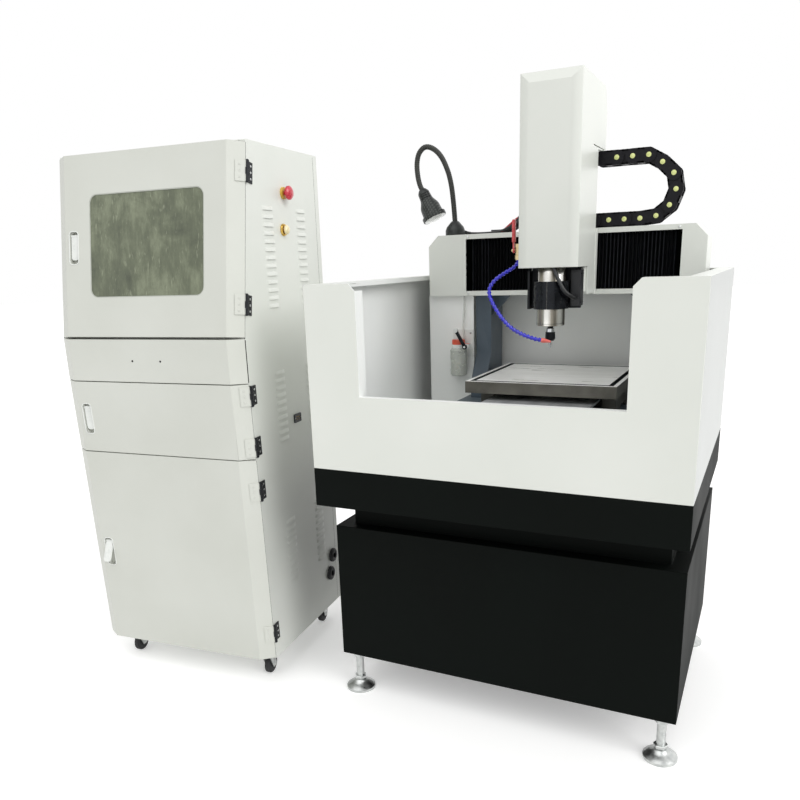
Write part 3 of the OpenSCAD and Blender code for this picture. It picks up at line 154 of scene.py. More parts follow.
# %% Camera
CAMERA_AT = (624.9, -1738, 1299.5)
CAMERA_TURN = math.radians(26.7)
CAMERA_DROP = math.radians(15.8)
CAMERA_ROLL = math.radians(-2.0)
LENS_SHARE = 0.9465
SHIFT = (0.0076, 0.0956)

ahead = Vector((-math.sin(CAMERA_TURN) * math.cos(CAMERA_DROP),
                math.cos(CAMERA_TURN) * math.cos(CAMERA_DROP), -math.sin(CAMERA_DROP)))
aside = Vector((math.cos(CAMERA_TURN), math.sin(CAMERA_TURN), 0))
above = aside.cross(ahead)
right = aside * math.cos(CAMERA_ROLL) + above * math.sin(CAMERA_ROLL)
up = above * math.cos(CAMERA_ROLL) - aside * math.sin(CAMERA_ROLL)

camera_data = bpy.data.cameras.new("studio_camera")
camera = bpy.data.objects.new("studio_camera", camera_data)
into_scene = bpy.context.scene.collection.objects.link
into_scene(camera)
camera_data.sensor_fit = "HORIZONTAL"
camera_data.sensor_width = 36
camera_data.lens = LENS_SHARE * camera_data.sensor_width
camera_data.shift_x, camera_data.shift_y = SHIFT
camera.matrix_world = Matrix.Translation(spot(MACHINE, *CAMERA_AT)) @ Matrix(
    (right, up, -ahead)).transposed().to_4x4()
bpy.context.scene.camera = camera
bpy.context.scene.view_settings.view_transform = "Standard"
print("lens:", round(camera_data.lens, 1), "mm")

# %% [markdown]
# ## Colour and nodes
# Paint charts give colours as sRGB hex values, and a renderer adds light in linear values, so one
# function turns the first into the second. A second small function adds a shader or geometry node,
# sets it, and fills or links its inputs. A node given as a value stands for its first output, and a list
# goes into one input that joins several, which keeps every tree below short to read.

# %% Colour and node helpers


def linear(code, alpha=1.0):
    """An sRGB hex colour as linear red, green, blue and alpha."""
    parts = [int(code[i:i + 2], 16) / 255 for i in (1, 3, 5)]
    return (*(p / 12.92 if p <= 0.04045 else ((p + 0.055) / 1.055) ** 2.4 for p in parts), alpha)


def add(tree, kind, inputs=None, **settings):
    """Adds a node, sets its properties, and gives its inputs a value or links."""
    made = tree.nodes.new(kind)
    for name, value in settings.items():
        setattr(made, name, value)
    for name, value in (inputs or {}).items():
        for source in value if isinstance(value, list) else [value]:
            if isinstance(source, bpy.types.Node):
                source = source.outputs[0]
            if isinstance(source, bpy.types.NodeSocket):
                tree.links.new(source, made.inputs[name])
            else:
                made.inputs[name].default_value = source
    return made


def new_material(name):
    """An empty node material, and its tree."""
    material = bpy.data.materials.new(name)
    material.use_nodes = True
    material.node_tree.nodes.clear()
    return material, material.node_tree


print("linear white paint:", [round(v, 2) for v in linear("#e9ebe7")])

# %% [markdown]
# ## The surround
# The set stands in a white surround, as in a product studio. Only camera, mirror and glass rays see it
# as pure white; all other rays get a softer light from it, so that it doesn't bleach the paint.

# %% Surround
WHITE = (1, 1, 1, 1)
SOFT_LIGHT = 0.66
world = bpy.data.worlds.new("studio")
bpy.context.scene.world = world
world.use_nodes = True
tree = world.node_tree
tree.nodes.clear()
rays = add(tree, "ShaderNodeLightPath")
seen = add(tree, "ShaderNodeMath", {0: rays.outputs["Is Camera Ray"], 1: rays.outputs["Is Glossy Ray"]},
           operation="MAXIMUM")
seen = add(tree, "ShaderNodeMath", {0: seen, 1: rays.outputs["Is Transmission Ray"]}, operation="MAXIMUM")
soft_light = add(tree, "ShaderNodeBackground", {"Color": WHITE, "Strength": SOFT_LIGHT})
surround = add(tree, "ShaderNodeBackground", {"Color": WHITE, "Strength": 1.0})
both = add(tree, "ShaderNodeMixShader", {0: seen, 1: soft_light, 2: surround})
add(tree, "ShaderNodeOutputWorld", {"Surface": both})
print("surround:", len(tree.nodes), "nodes")

# %% [markdown]
# ## Lamps
# The key light comes from the right, because right-hand faces should be the brightest. Broad sun lamps
# stand in for softboxes far away, so the floor is as bright at the horizon as at the feet.

# %% Lamps
# Name, where it stands, the angle it spreads over, and its strength
LAMPS = [
    ("key", (0.84, -0.24, 0.49), 40, 1.55),
    ("front", (-0.12, -0.60, 0.79), 50, 0.62),
    ("back", (0.2, 0.85, 0.49), 60, 0.28),
]
for name, stands_at, spread, strength in LAMPS:
    lamp = bpy.data.lights.new(name, "SUN")
    lamp.angle = math.radians(spread)
    lamp.energy = strength
    holder = bpy.data.objects.new(name, lamp)
    holder.rotation_euler = Vector(stands_at).to_track_quat("Z", "Y").to_euler()
    into_scene(holder)
print("lamps:", len(LAMPS))

# %% [markdown]
# ## Floor
# A sheet of matte paper. To the camera and to mirrors it glows a little, which brings it up to the
# surround's white and still lets the set's shadow show on it.

# %% Floor
FLOOR_SIZE = 60
FLOOR_GLOW = 0.3
paper, tree = new_material("pale_floor_paper")
rays = add(tree, "ShaderNodeLightPath")
seen = add(tree, "ShaderNodeMath", {0: rays.outputs["Is Camera Ray"], 1: rays.outputs["Is Glossy Ray"]},
           operation="MAXIMUM")
matte = add(tree, "ShaderNodeBsdfDiffuse", {"Color": linear("#f4f4f3")})
glow = add(tree, "ShaderNodeEmission", {"Color": WHITE, "Strength": FLOOR_GLOW})
lifted = add(tree, "ShaderNodeAddShader", {0: matte, 1: glow})
both = add(tree, "ShaderNodeMixShader", {0: seen, 1: matte, 2: lifted})
add(tree, "ShaderNodeOutputMaterial", {"Surface": both})

floor_mesh = bpy.data.meshes.new("floor")
half = FLOOR_SIZE / 2
floor_mesh.from_pydata([(-half, -half, 0), (half, -half, 0), (half, half, 0), (-half, half, 0)], [],
                       [(0, 1, 2, 3)])
floor_mesh.materials.append(paper)
floor = bpy.data.objects.new("floor", floor_mesh)
into_scene(floor)
floor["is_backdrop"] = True
print("floor:", FLOOR_SIZE, "m wide")

# %% [markdown]
# ## One recipe for most finishes
# Nearly every surface here is a base colour that drifts a little over the sheet, a gloss that drifts
# with it, and a fine grain in its height: orange peel in paint, turning lines in steel, moulded grain
# in plastic. One function builds that from real sizes in millimetres, on Object coordinates, so the
# pattern stays put on the piece. A stretch makes lines out of spots, as a brush or a lathe does.

# %% The common recipe
CLEAR_COAT_ROUGHNESS = 0.08


def finish(name, colours, gloss, metallic=0.0, patch=150, grain=1.5, relief=0.03, stretch=(1, 1, 1),
           coat=0.0, level=0.5, weight=0.6):
    """Colour and gloss drift between two values over `patch` mm; `grain` and `relief` size the bumps."""
    material, tree = new_material(name)
    place = add(tree, "ShaderNodeTexCoord").outputs["Object"]
    lines = add(tree, "ShaderNodeMapping", {"Vector": place, "Scale": stretch})
    drift = add(tree, "ShaderNodeTexNoise", {"Vector": lines, "Scale": 1 / (patch * MM), "Detail": 4.0})
    # Noise seldom leaves 0.3 to 0.7, so that range is spread over the whole drift
    spread = add(tree, "ShaderNodeMapRange", {"Value": drift, "From Min": 0.3, "From Max": 0.7})
    colour = add(tree, "ShaderNodeMix", {0: spread, 6: linear(colours[0]), 7: linear(colours[1])},
                 data_type="RGBA")
    rough = add(tree, "ShaderNodeMapRange", {"Value": spread, "To Min": gloss[0], "To Max": gloss[1]})
    peel = add(tree, "ShaderNodeTexNoise", {"Vector": lines, "Scale": 1 / (grain * MM), "Detail": 2.0})
    bump = add(tree, "ShaderNodeBump", {"Height": peel, "Strength": weight, "Distance": relief * MM})
    settings = {"Base Color": colour.outputs[2], "Roughness": rough, "Normal": bump,
                "Metallic": metallic, "Specular IOR Level": level}
    if coat:
        settings.update({"Coat Weight": coat, "Coat Roughness": CLEAR_COAT_ROUGHNESS})
    shader = add(tree, "ShaderNodeBsdfPrincipled", settings)
    add(tree, "ShaderNodeOutputMaterial", {"Surface": shader})
    return material


print("a clear coat's roughness:", CLEAR_COAT_ROUGHNESS)

# %% [markdown]
# ## Paints
# Sheet steel on such machines is powder coated: sprayed as dry powder and baked, which leaves a soft
# orange peel of 2 to 3 mm and a half gloss. The stand's black has a finer texture and hardly shines.
# Castings are sprayed thickly with enamel over a sand-cast skin, so their bumps are larger.

# %% Paints
WHITE_COAT = finish("white_powder_coat", ("#d9dcd5", "#e0e2dc"), (0.3, 0.4), patch=420, grain=2.6)
# Painted light and shade on the tray: a lighter white for its inside, a greyer one for its right side
INNER_COAT_PAINTED_LIGHT = finish("white_powder_coat_with_painted_light", ("#eff1ee", "#f6f7f5"), (0.3, 0.4), patch=420, grain=2.6)
SIDE_COAT_PAINTED_SHADE = finish("white_powder_coat_with_painted_shade", ("#b2b5b3", "#bcbebc"), (0.3, 0.42), patch=300, grain=2.6)
# Doors and drawer: a warmer white that is also darker, painted shade on the cabinet's front
CREAM_COAT_PAINTED_SHADE = finish("warm_white_powder_coat_with_painted_shade", ("#c7c9c1", "#cfd1ca"), (0.34, 0.46), patch=380, grain=2.2,
                    relief=0.035)
BLACK_COAT = finish("black_green_powder_coat", ("#090c0a", "#0c100e"), (0.5, 0.62), patch=300, grain=1.6,
                    relief=0.05, level=0.05)
# Painted shade: a near-black colour for faces deep in recesses, where shade falls
RECESS_PAINTED_SHADE = finish("black_painted_shade_in_the_recess", ("#020302", "#050605"), (0.8, 0.9), patch=200, grain=1.6,
                     level=0.0)
CASTING = finish("blue_grey_enamel_on_casting", ("#3e4a55", "#4b5863"), (0.32, 0.48), patch=90, grain=6,
                 relief=0.25, coat=0.15)
BED_ENAMEL = finish("grey_enamel_on_casting", ("#566169", "#646f76"), (0.4, 0.55), patch=90, grain=6,
                    relief=0.25)
print("paints:", len(bpy.data.materials) - 1)

# %% [markdown]
# ## Metals
# A metal's colour is in its reflection, so it is metallic 1 and its roughness tells how it was made.
# Ground and turned faces have lines across or round them, which come from a strong stretch of the
# grain. Blackened tool steel and hard-anodised aluminium keep some metal shine under a dark skin.

# %% Metals
# Painted reflection: the milled table's near-white colour stands for the bright surround that it mirrors
MILLED_IRON_PAINTED_REFLECTION = finish("milled_iron_with_painted_reflection", ("#e9e9e4", "#fbfbf8"), (0.26, 0.38), 0.12, patch=110, grain=1.2,
                stretch=(1, 4, 1), relief=0.005)
CAST_EDGE = finish("oiled_cast_iron", ("#54524b", "#6b6961"), (0.38, 0.55), 0.35, patch=45, grain=2.5,
                   relief=0.12)
# Darker iron for the table's gutter and the spindle's jacket seam
DARK_IRON = finish("dark_grey_iron", ("#24282a", "#33383a"), (0.4, 0.55), 0.6, patch=50, grain=2.5,
                   relief=0.1)
GROUND = finish("ground_bearing_steel", ("#b9bdc0", "#d3d6d8"), (0.18, 0.28), 1.0, patch=30,
                stretch=(1, 1, 20))
STAINLESS = finish("rolled_stainless_sheet", ("#cfd2d4", "#e2e4e5"), (0.3, 0.4), 0.6, patch=120, grain=0.9,
                   stretch=(4, 1, 4), relief=0.004)
ZINC = finish("zinc_plated_steel", ("#b2b5b4", "#cfd1cf"), (0.26, 0.44), 1.0, patch=14, grain=5, relief=0.35)
BLACKENED = finish("blackened_tool_steel", ("#16181b", "#2a2d31"), (0.26, 0.42), 0.8, patch=16, relief=0.02)
SATIN_BLACK = finish("satin_black_anodised", ("#131518", "#1e2124"), (0.36, 0.5), 0.55, patch=60, relief=0.02)
CLAMP_GREY = finish("grey_anodised_aluminium", ("#131519", "#1f2226"), (0.22, 0.32), 0.7, patch=30,
                    grain=0.6, relief=0.008)
VALVE_BRASS = finish("dull_nickelled_brass", ("#c4ad7c", "#e2d3ac"), (0.28, 0.4), 0.8, patch=12,
                     stretch=(1, 1, 10))
BRASS = finish("turned_brass", ("#b8923c", "#d9b765"), (0.18, 0.3), 1.0, patch=12, stretch=(1, 1, 10))
SCREW_BLACK = finish("black_oxide_screws", ("#1a1b1d", "#2c2e30"), (0.3, 0.45), 0.8, patch=4, grain=0.6)
SCREW_ZINC = finish("bright_zinc_screws", ("#c6c8c8", "#e0e1e0"), (0.22, 0.32), 1.0, patch=4, grain=0.6)
print("paints and metals:", len(bpy.data.materials) - 1)

# %% [markdown]
# ## Plastics, rubber and cloth
# Moulded nylon is a little dull, dipped vinyl and acetal are glossy, and coated bellows cloth has a
# leather grain with a soft sheen on its folds.

# %% Plastics, rubber and cloth
NYLON = finish("black_moulded_nylon", ("#0c0b10", "#16151a"), (0.4, 0.55), patch=20, grain=0.8, level=0.2)
YELLOW_PIN = finish("yellow_acetal_pin", ("#ccd383", "#dfe49d"), (0.34, 0.44), patch=6, coat=0.2)
BLACK_ABS = finish("black_abs", ("#17181b", "#202225"), (0.4, 0.5), patch=40, grain=0.7, relief=0.04)
RED_VINYL = finish("red_dipped_vinyl", ("#c02f34", "#d2474a"), (0.22, 0.34), patch=14, coat=0.5)
BLUE_ACETAL = finish("blue_acetal", ("#1611ac", "#2621d2"), (0.16, 0.26), patch=10, coat=0.6)
NOZZLE_RED = finish("orange_red_acetal", ("#d8574c", "#e8756a"), (0.25, 0.35), patch=8, coat=0.4)
CAP_RED = finish("orange_red_cap", ("#d4492f", "#e2603f"), (0.3, 0.42), patch=8, coat=0.3)
WHITE_ABS = finish("white_abs", ("#dcdedb", "#e8eae7"), (0.34, 0.44), patch=25, grain=0.8, relief=0.02)
LATCH_WHITE = finish("white_nylon_latch", ("#dcdfdb", "#e6e8e4"), (0.24, 0.34), patch=25, coat=0.3)
LAMP_BLACK = finish("black_lamp_housing", ("#1c1f1e", "#303432"), (0.3, 0.44), 0.3, patch=18, relief=0.03)
NECK_BLACK = finish("black_rubber_neck", ("#1a1c19", "#2c2e28"), (0.4, 0.55),
                    patch=26, grain=0.9, relief=0.05)
RUBBER = finish("black_rubber", ("#121315", "#1b1c1e"), (0.55, 0.7), patch=20, grain=0.8, relief=0.05)
PALE_RUBBER = finish("pale_grey_rubber", ("#a9aca4", "#b9bcb3"), (0.5, 0.6), patch=20, grain=0.8, relief=0.04)
CABLE = finish("black_pvc_cable", ("#0d0e10", "#17191b"), (0.28, 0.4), patch=20, coat=0.25)
RED_WIRE = finish("red_pvc_wire", ("#a5141f", "#c22a33"), (0.28, 0.38), patch=14, coat=0.3)
STOP_RED = finish("red_mushroom_button", ("#b81f33", "#cf3548"), (0.24, 0.34), patch=12, coat=0.4)
YELLOW_RING = finish("yellow_legend_ring", ("#c8a332", "#dcb84a"), (0.36, 0.46), patch=8)
BUTTON_CREAM = finish("cream_button_cap", ("#e8d6a4", "#f1e6c4"), (0.25, 0.35), patch=8, coat=0.4)
DRIVE_GREY = finish("dark_grey_drive_case", ("#33383c", "#434a4f"), (0.45, 0.55), patch=40, grain=1.0)
WHITE_LENS = finish("frosted_lens", ("#f4f5f3", "#fbfbfa"), (0.18, 0.28), patch=12, coat=0.5)
SCREEN_GLASS = finish("dark_screen_glass", ("#0a0c0f", "#101317"), (0.05, 0.09), patch=90, coat=0.6)
KEY_BLACK = finish("black_keycaps", ("#1b1c1f", "#2a2b2e"), (0.42, 0.55), patch=12, grain=0.5)
DUCT_GREY = finish("grey_pvc_duct", ("#8f9597", "#a3a8a9"), (0.45, 0.55), patch=40, grain=0.8)
LABEL_GREY = finish("pale_grey_drive_cover", ("#b9bdbc", "#c8cbc9"), (0.4, 0.5), patch=40, grain=0.8)
TERMINAL_GREEN = finish("green_terminal_block", ("#2d6b3f", "#37804c"), (0.4, 0.5), patch=12)
BLUE_WIRE = finish("blue_pvc_wire", ("#1f3f96", "#2b51b3"), (0.28, 0.38), patch=14, coat=0.3)
SEAM = finish("shadow_in_a_seam", ("#33352f", "#45473f"), (0.7, 0.8), patch=60)
print("with plastics, rubber and cloth:", len(bpy.data.materials) - 1)

# %% [markdown]
# ## The window
# The viewing pane is tinted glass that still wears a dusty, scratched film: greenish grey, lighter
# where dust lies, with runs down it. Runs are noise stretched along z, and the film's colour
# goes through a ramp. It stays nearly opaque, as a smoked pane over a dark room does.

# %% Film on glass
WINDOW, tree = new_material("dusty_film_on_tinted_glass")
place = add(tree, "ShaderNodeTexCoord").outputs["Object"]
runs_map = add(tree, "ShaderNodeMapping", {"Vector": place, "Scale": (1, 1, 0.16)})
runs = add(tree, "ShaderNodeTexNoise", {"Vector": runs_map, "Scale": 42, "Detail": 6, "Roughness": 0.7})
clouds = add(tree, "ShaderNodeTexNoise", {
    "Vector": place, "Scale": 7.5, "Detail": 9, "Roughness": 0.62, "Distortion": 0.5})
mixed = add(tree, "ShaderNodeMix", {0: 0.36, 2: clouds, 3: runs})
tones = add(tree, "ShaderNodeValToRGB", {"Fac": mixed})
tones.color_ramp.elements[0].position = 0.36
tones.color_ramp.elements[0].color = linear("#3b422f")
tones.color_ramp.elements[1].position = 0.64
tones.color_ramp.elements[1].color = linear("#7e856c")
middle = tones.color_ramp.elements.new(0.5)
middle.color = linear("#596049")
scuffs = add(tree, "ShaderNodeTexNoise", {"Vector": runs_map, "Scale": 160, "Detail": 3})
wear_and_sheen = add(tree, "ShaderNodeMapRange", {"Value": scuffs, "From Min": 0.62, "From Max": 0.76, "To Max": 0.5})
dusty = add(tree, "ShaderNodeMix", {0: wear_and_sheen, 6: tones, 7: linear("#a3a98f")}, data_type="RGBA")
rough = add(tree, "ShaderNodeMapRange", {"Value": mixed, "To Min": 0.16, "To Max": 0.5})
shader = add(tree, "ShaderNodeBsdfPrincipled", {
    "Base Color": dusty.outputs[2], "Roughness": rough, "Coat Weight": 0.6, "Coat Roughness": 0.12})
add(tree, "ShaderNodeOutputMaterial", {"Surface": shader})
print("window film:", len(tree.nodes), "nodes")

# %% [markdown]
# ## Polished steel of the spindle
# The spindle's jacket is turned and polished along its length. Its light and dark streaks are painted
# reflections that stand upright round it. The angle round the spindle's own axis drives them, which keeps
# each band straight, and the lighter bands are smoother too.

# %% Spindle jacket
# Six painted reflection streaks go round the jacket, and the first is turned so that a bright one faces the
# front
REFLECTION_STREAKS, FIRST_REFLECTION_STREAK = 6.0, -1.2
spindle_low, spindle_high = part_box("spindle_body")
SPINDLE_AXIS = (spindle_low + spindle_high) / 2
SPINDLE_STEEL, tree = new_material("stainless_jacket_with_painted_reflections")
place = add(tree, "ShaderNodeTexCoord").outputs["Object"]
centred = add(tree, "ShaderNodeMapping", {
    "Vector": place, "Location": (-SPINDLE_AXIS.x, -SPINDLE_AXIS.y, 0)})
parts = add(tree, "ShaderNodeSeparateXYZ", {0: centred})
turn = add(tree, "ShaderNodeMath", {0: parts.outputs["Y"], 1: parts.outputs["X"]}, operation="ARCTAN2")
waves = add(tree, "ShaderNodeMath", {0: turn, 1: REFLECTION_STREAKS, 2: FIRST_REFLECTION_STREAK}, operation="MULTIPLY_ADD")
waves = add(tree, "ShaderNodeMath", {0: waves}, operation="SINE")
# Painted reflection: light and dark bands in the jacket's base colour
painted_reflection = add(tree, "ShaderNodeMapRange", {"Value": waves, "From Min": -0.6, "From Max": 0.9})
tones = add(tree, "ShaderNodeMix", {0: painted_reflection, 6: linear("#8c877c"), 7: linear("#e4e3de")},
            data_type="RGBA")
gloss = add(tree, "ShaderNodeMapRange", {"Value": painted_reflection, "To Min": 0.3, "To Max": 0.14})
shader = add(tree, "ShaderNodeBsdfPrincipled", {
    "Base Color": tones.outputs[2], "Roughness": gloss, "Metallic": 1.0})
add(tree, "ShaderNodeOutputMaterial", {"Surface": shader})
print("spindle axis at", [round(v, 3) for v in SPINDLE_AXIS])

# %% [markdown]
# ## Clear plastic
# The oil cup is thin, milky polyethylene, and the oil line is a clear nylon tube. Both pass part of the
# light, and how rough they are drifts a little, as the milkiness of such plastic does.

# %% Clear plastic


def clear(name, code, rough, share):
    """A see-through plastic: it passes `share` of the light and scatters the rest in its own colour."""
    material, tree = new_material(name)
    place = add(tree, "ShaderNodeTexCoord").outputs["Object"]
    cloud = add(tree, "ShaderNodeTexNoise", {"Vector": place, "Scale": 60.0, "Detail": 2.0})
    milk = add(tree, "ShaderNodeMapRange", {"Value": cloud, "To Min": rough, "To Max": rough + 0.12})
    shader = add(tree, "ShaderNodeBsdfPrincipled", {
        "Base Color": linear(code), "Roughness": milk, "IOR": 1.3, "Transmission Weight": share})
    add(tree, "ShaderNodeOutputMaterial", {"Surface": shader})
    return material


MILKY = clear("milky_polyethylene", "#dfe3dc", 0.2, 0.45)
CLEAR_TUBE = clear("clear_nylon_tube", "#eceeea", 0.12, 0.55)
OIL = finish("pale_slideway_oil", ("#c9bd8c", "#d8cda2"), (0.08, 0.14), patch=30, coat=0.3)
print("materials so far:", len(bpy.data.materials) - 1)

# %% [markdown]
# ## Dressing the CAD's own shapes
# The sheet-metal boxes, castings and machined blocks already have the right shape, but their edges
# are razor sharp, which no real edge is: sheet is folded round a radius and castings are fettled. So
# each will get a rounded copy. First come two helpers that every piece needs: one places it on the
# body it moves with, the other makes its curved faces shade smoothly.

# %% Placing and shading
TURN = math.radians(32)
# Points that are closer than this, in metres, are one: in the CAD's meshes and sheets, and in built shapes
WELD, BUILT_WELD = 1e-5, 1e-6


def put(name, mesh, body, stands_for=()):
    """Puts a finished mesh in the scene, on its body if it has one, instead of the nodes it stands for."""
    piece = bpy.data.objects.new(name, mesh)
    into_scene(piece)
    if body:
        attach(piece, body)
    if stands_for:
        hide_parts(*stands_for)
    return piece


def shade(mesh, turn=TURN):
    """Curved faces shade smoothly, and edges with a larger turn stay crisp."""
    mesh.shade_smooth()
    mesh.set_sharp_from_angle(angle=turn)


print("edges stay crisp from", round(math.degrees(TURN)), "degrees")

# %% [markdown]
# ## Which edges to round
# A bevel needs room: along its edge, on the two faces beside it, and at both ends. Edges between small
# holes and slots don't have it, so they stay sharp, and so do the edges that end at such a short one.

# %% Long edges
# An edge must be as long as this many widths of its bevel, and its faces as wide as this many
LONG_ENOUGH, WIDE_ENOUGH = 8, 2.5


def mark_long_edges(shape, width):
    """Marks the sharp edges that a bevel can follow from end to end without meeting a short one."""
    weight = shape.edges.layers.float.new("bevel_weight_edge")
    sharp = [e for e in shape.edges if len(e.link_faces) == 2 and e.calc_face_angle(0) > TURN]
    long = {e for e in sharp if e.calc_length() > LONG_ENOUGH * width
            and min(f.calc_area() / e.calc_length() for f in e.link_faces) > WIDE_ENOUGH * width}
    ends_at_short = {v for e in sharp if e not in long for v in e.verts}
    for e in long:
        e[weight] = 0.0 if ends_at_short.intersection(e.verts) else 1.0


print("a 2 mm bevel needs an edge of", LONG_ENOUGH * 2, "mm")

# %% [markdown]
# ## Skins
# Each node is copied, its triangles are joined to whole faces, and its long edges get a small rounded
# bevel that catches the light. Faces can also take a second finish, as a milled top does on a casting.
# The copy rides the body that the record gives its node.

# %% Skins
TO_MACHINE, TO_CABINET = MACHINE.inverted(), CABINET.inverted()
BODY = {node: body for body, nodes in frame["record"]["behaviour"]["bodies"].items() for node in nodes}


def dress(node, material, edge=0.0, also=()):
    """A copy of a node in its finish, its long edges rounded by `edge` mm, some faces finished apart."""
    shape = bmesh.new()
    shape.from_mesh(frame["nodes"][node].data)
    bmesh.ops.remove_doubles(shape, verts=shape.verts, dist=WELD)
    bmesh.ops.dissolve_limit(shape, angle_limit=0.01, verts=shape.verts, edges=shape.edges)
    for face in shape.faces:
        point = TO_MACHINE @ face.calc_center_median()
        fits = (i + 1 for i, (_, test) in enumerate(also) if test(point, face.normal))
        face.material_index = next(fits, 0)
    if edge:
        mark_long_edges(shape, edge * MM)
    mesh = bpy.data.meshes.new(node)
    shape.to_mesh(mesh)
    shape.free()
    for finish_used in [material] + [a[0] for a in also]:
        mesh.materials.append(finish_used)
    shade(mesh)
    piece = put(node + "_skin", mesh, BODY[node], [node])
    if edge:
        rounding = piece.modifiers.new("rounded_edges", "BEVEL")
        rounding.limit_method = "WEIGHT"
        rounding.width = edge * MM
        rounding.segments = 2
        rounding.use_clamp_overlap = False
        rounding.loop_slide = False
        flat = piece.modifiers.new("flat_sheet", "WEIGHTED_NORMAL")
        flat.keep_sharp = True
        flat.weight = 100


print("nodes with a body:", len(BODY))

# %% [markdown]
# ## Base, skirt and tray
# The stand is a welded box of sheet, painted black inside and out; its recess is given a still blacker
# colour, painted shade, so that only its edges show. The skirt above it is the same black. The splash tray
# is folded from white coated sheet; its inside is painted lighter, as painted light, and its right side
# greyer, as painted shade.

# %% Base, skirt and tray
# The front faces of the stand's recess get painted shade
dress("stand", BLACK_COAT, 1.6, [
    (RECESS_PAINTED_SHADE, lambda p, n: p.y > 100 and p.z < 545 and abs(p.x) < 480 and n.y < -0.5)])
dress("skirt_deck", BLACK_COAT, 1.6)
# The tray's inside gets painted light, and its right side painted shade
dress("splash_tray", WHITE_COAT, 1.5, [
    (SIDE_COAT_PAINTED_SHADE, lambda p, n: n.x > 0.5 and p.x > 499),
    (INNER_COAT_PAINTED_LIGHT, lambda p, n: p.z > 751 and abs(p.x) < 499.5 and 1 < p.y < 869 and p.z < 1249)])
dress("levelling_feet", ZINC)
print("painted sheet: stand, skirt, tray")

# %% [markdown]
# ## Bed, gantry and ways
# Bed and columns are enamelled castings. The beam's front is trimmed with white strips over and under
# its bellows. The way cover is a folded stainless sheet, and the rails are ground steel. The table is
# milled on top, where its near-white colour is a painted reflection of the bright surround, and left as
# cast at its sides, where oil darkens it; its gutter is painted darker still.

# %% Bed, gantry and ways
dress("bed", BED_ENAMEL, 2.0)
# The beam's faces behind the bellows, between its trims, get near-black painted shade
dress("gantry_frame", CASTING, 2.5, [
    (WHITE_COAT, lambda p, n: p.z > 1183.5 and (p.y < 681 or abs(n.z) > 0.5 and not 1200 < p.z < 1362)),
    (RECESS_PAINTED_SHADE, lambda p, n: p.z > 1183.5 and p.y < 829)])
dress("end_covers", WHITE_COAT, 2.0)
dress("guide_rails", GROUND)
dress("way_cover", STAINLESS, 0.8)
dress("saddle", CAST_EDGE, 1.2)
dress("table", MILLED_IRON_PAINTED_REFLECTION, 1.0, [
    (CAST_EDGE, lambda p, n: abs(n.z) < 0.5 and (p.x < -189 or p.x > 253 or p.y < 378 or p.y > 806)),
    (CAST_EDGE, lambda p, n: n.z < -0.5),
    (DARK_IRON, lambda p, n: p.z < 949)])
for name in ["x_screw", "y_screw", "z_screw"]:
    dress(name, GROUND)
dress("axis_motors", SATIN_BLACK, 0.8)
print("castings, ways and table dressed")

# %% [markdown]
# ## The head
# The carriage, column and cover of the head are white coated sheet and casting, the slide behind the
# spindle is black, and the clamp is a grey anodised block. The spindle's jacket is polished steel.

# %% Head
dress("x_carriage", WHITE_COAT, 1.2)
dress("head_column", WHITE_COAT, 1.2)
dress("head_cover", WHITE_COAT, 1.6)
dress("z_motor", SATIN_BLACK, 0.8)
dress("z_slide", SATIN_BLACK, 0.8)
dress("spindle_clamp", CLAMP_GREY, 0.8)
dress("spindle_body", SPINDLE_STEEL)
dress("terminal_box", BLACK_ABS, 0.8)
dress("spindle_shaft", BLACKENED, 0, [(GROUND, lambda p, n: p.z < 1062)])
dress("coolant_valve", VALVE_BRASS)
dress("valve_lever", RED_VINYL)
print("head dressed")

# %% [markdown]
# ## The control cabinet
# The cabinet is folded sheet. Its shell wears the machine's white, and its doors and drawer a warmer one,
# inside as well, so an open door shows no raw metal; that warmer white is also darker, which is painted
# shade on the cabinet's front. Some nodes hold two parts: a door has its black hinge knuckles and the
# drawer has the keyboard's case. A test of where a face lies tells the two apart.

# %% Faces of the hinges and the keyboard
UPPER, MIDDLE, LOWER = (face_length(i) for i in (3, 1, 0))
HINGES = [(3, "upper_door", (98, UPPER - 80)), (1, "middle_door", (36, MIDDLE - 36)),
          (0, "lower_door", (88, LOWER - 100))]
HINGE_DEPTH = 28
HINGE_HALF = 28.4
BEVEL_TURN = math.atan2(HINGE_DEPTH, 43)
TO_DRAWER = cabinet_face(2).inverted() @ MACHINE


def on_knuckle(face, heights):
    """A test for the faces of a door's black hinge knuckles, in a frame on its slanted edge."""
    leaf = (cabinet_face(face) @ placed((CAB_W / 2, HINGE_DEPTH, 0)) @ Matrix.Rotation(BEVEL_TURN, 4, "Z"))
    from_machine = leaf.inverted() @ MACHINE

    def test(point, normal):
        at = from_machine @ point
        return at.x > 1.2 and any(abs(at.z - z) < HINGE_HALF for z in heights)
    return test


def on_keyboard(point, normal):
    """True for the faces of the keyboard's case, which lies in the drawer."""
    at = TO_DRAWER @ point
    return abs(at.x) < 220.5 and 79.5 < at.y < 220.5 and 13.6 < at.z < 34.5


print("doors:", len(HINGES), "with", sum(len(heights) for _, _, heights in HINGES), "hinges")

# %% [markdown]
# The latches are white nylon cups. The casters are zinc-plated pressed steel with rubber treads. The
# screen and the computer inside have cases of plastic and of painted sheet.

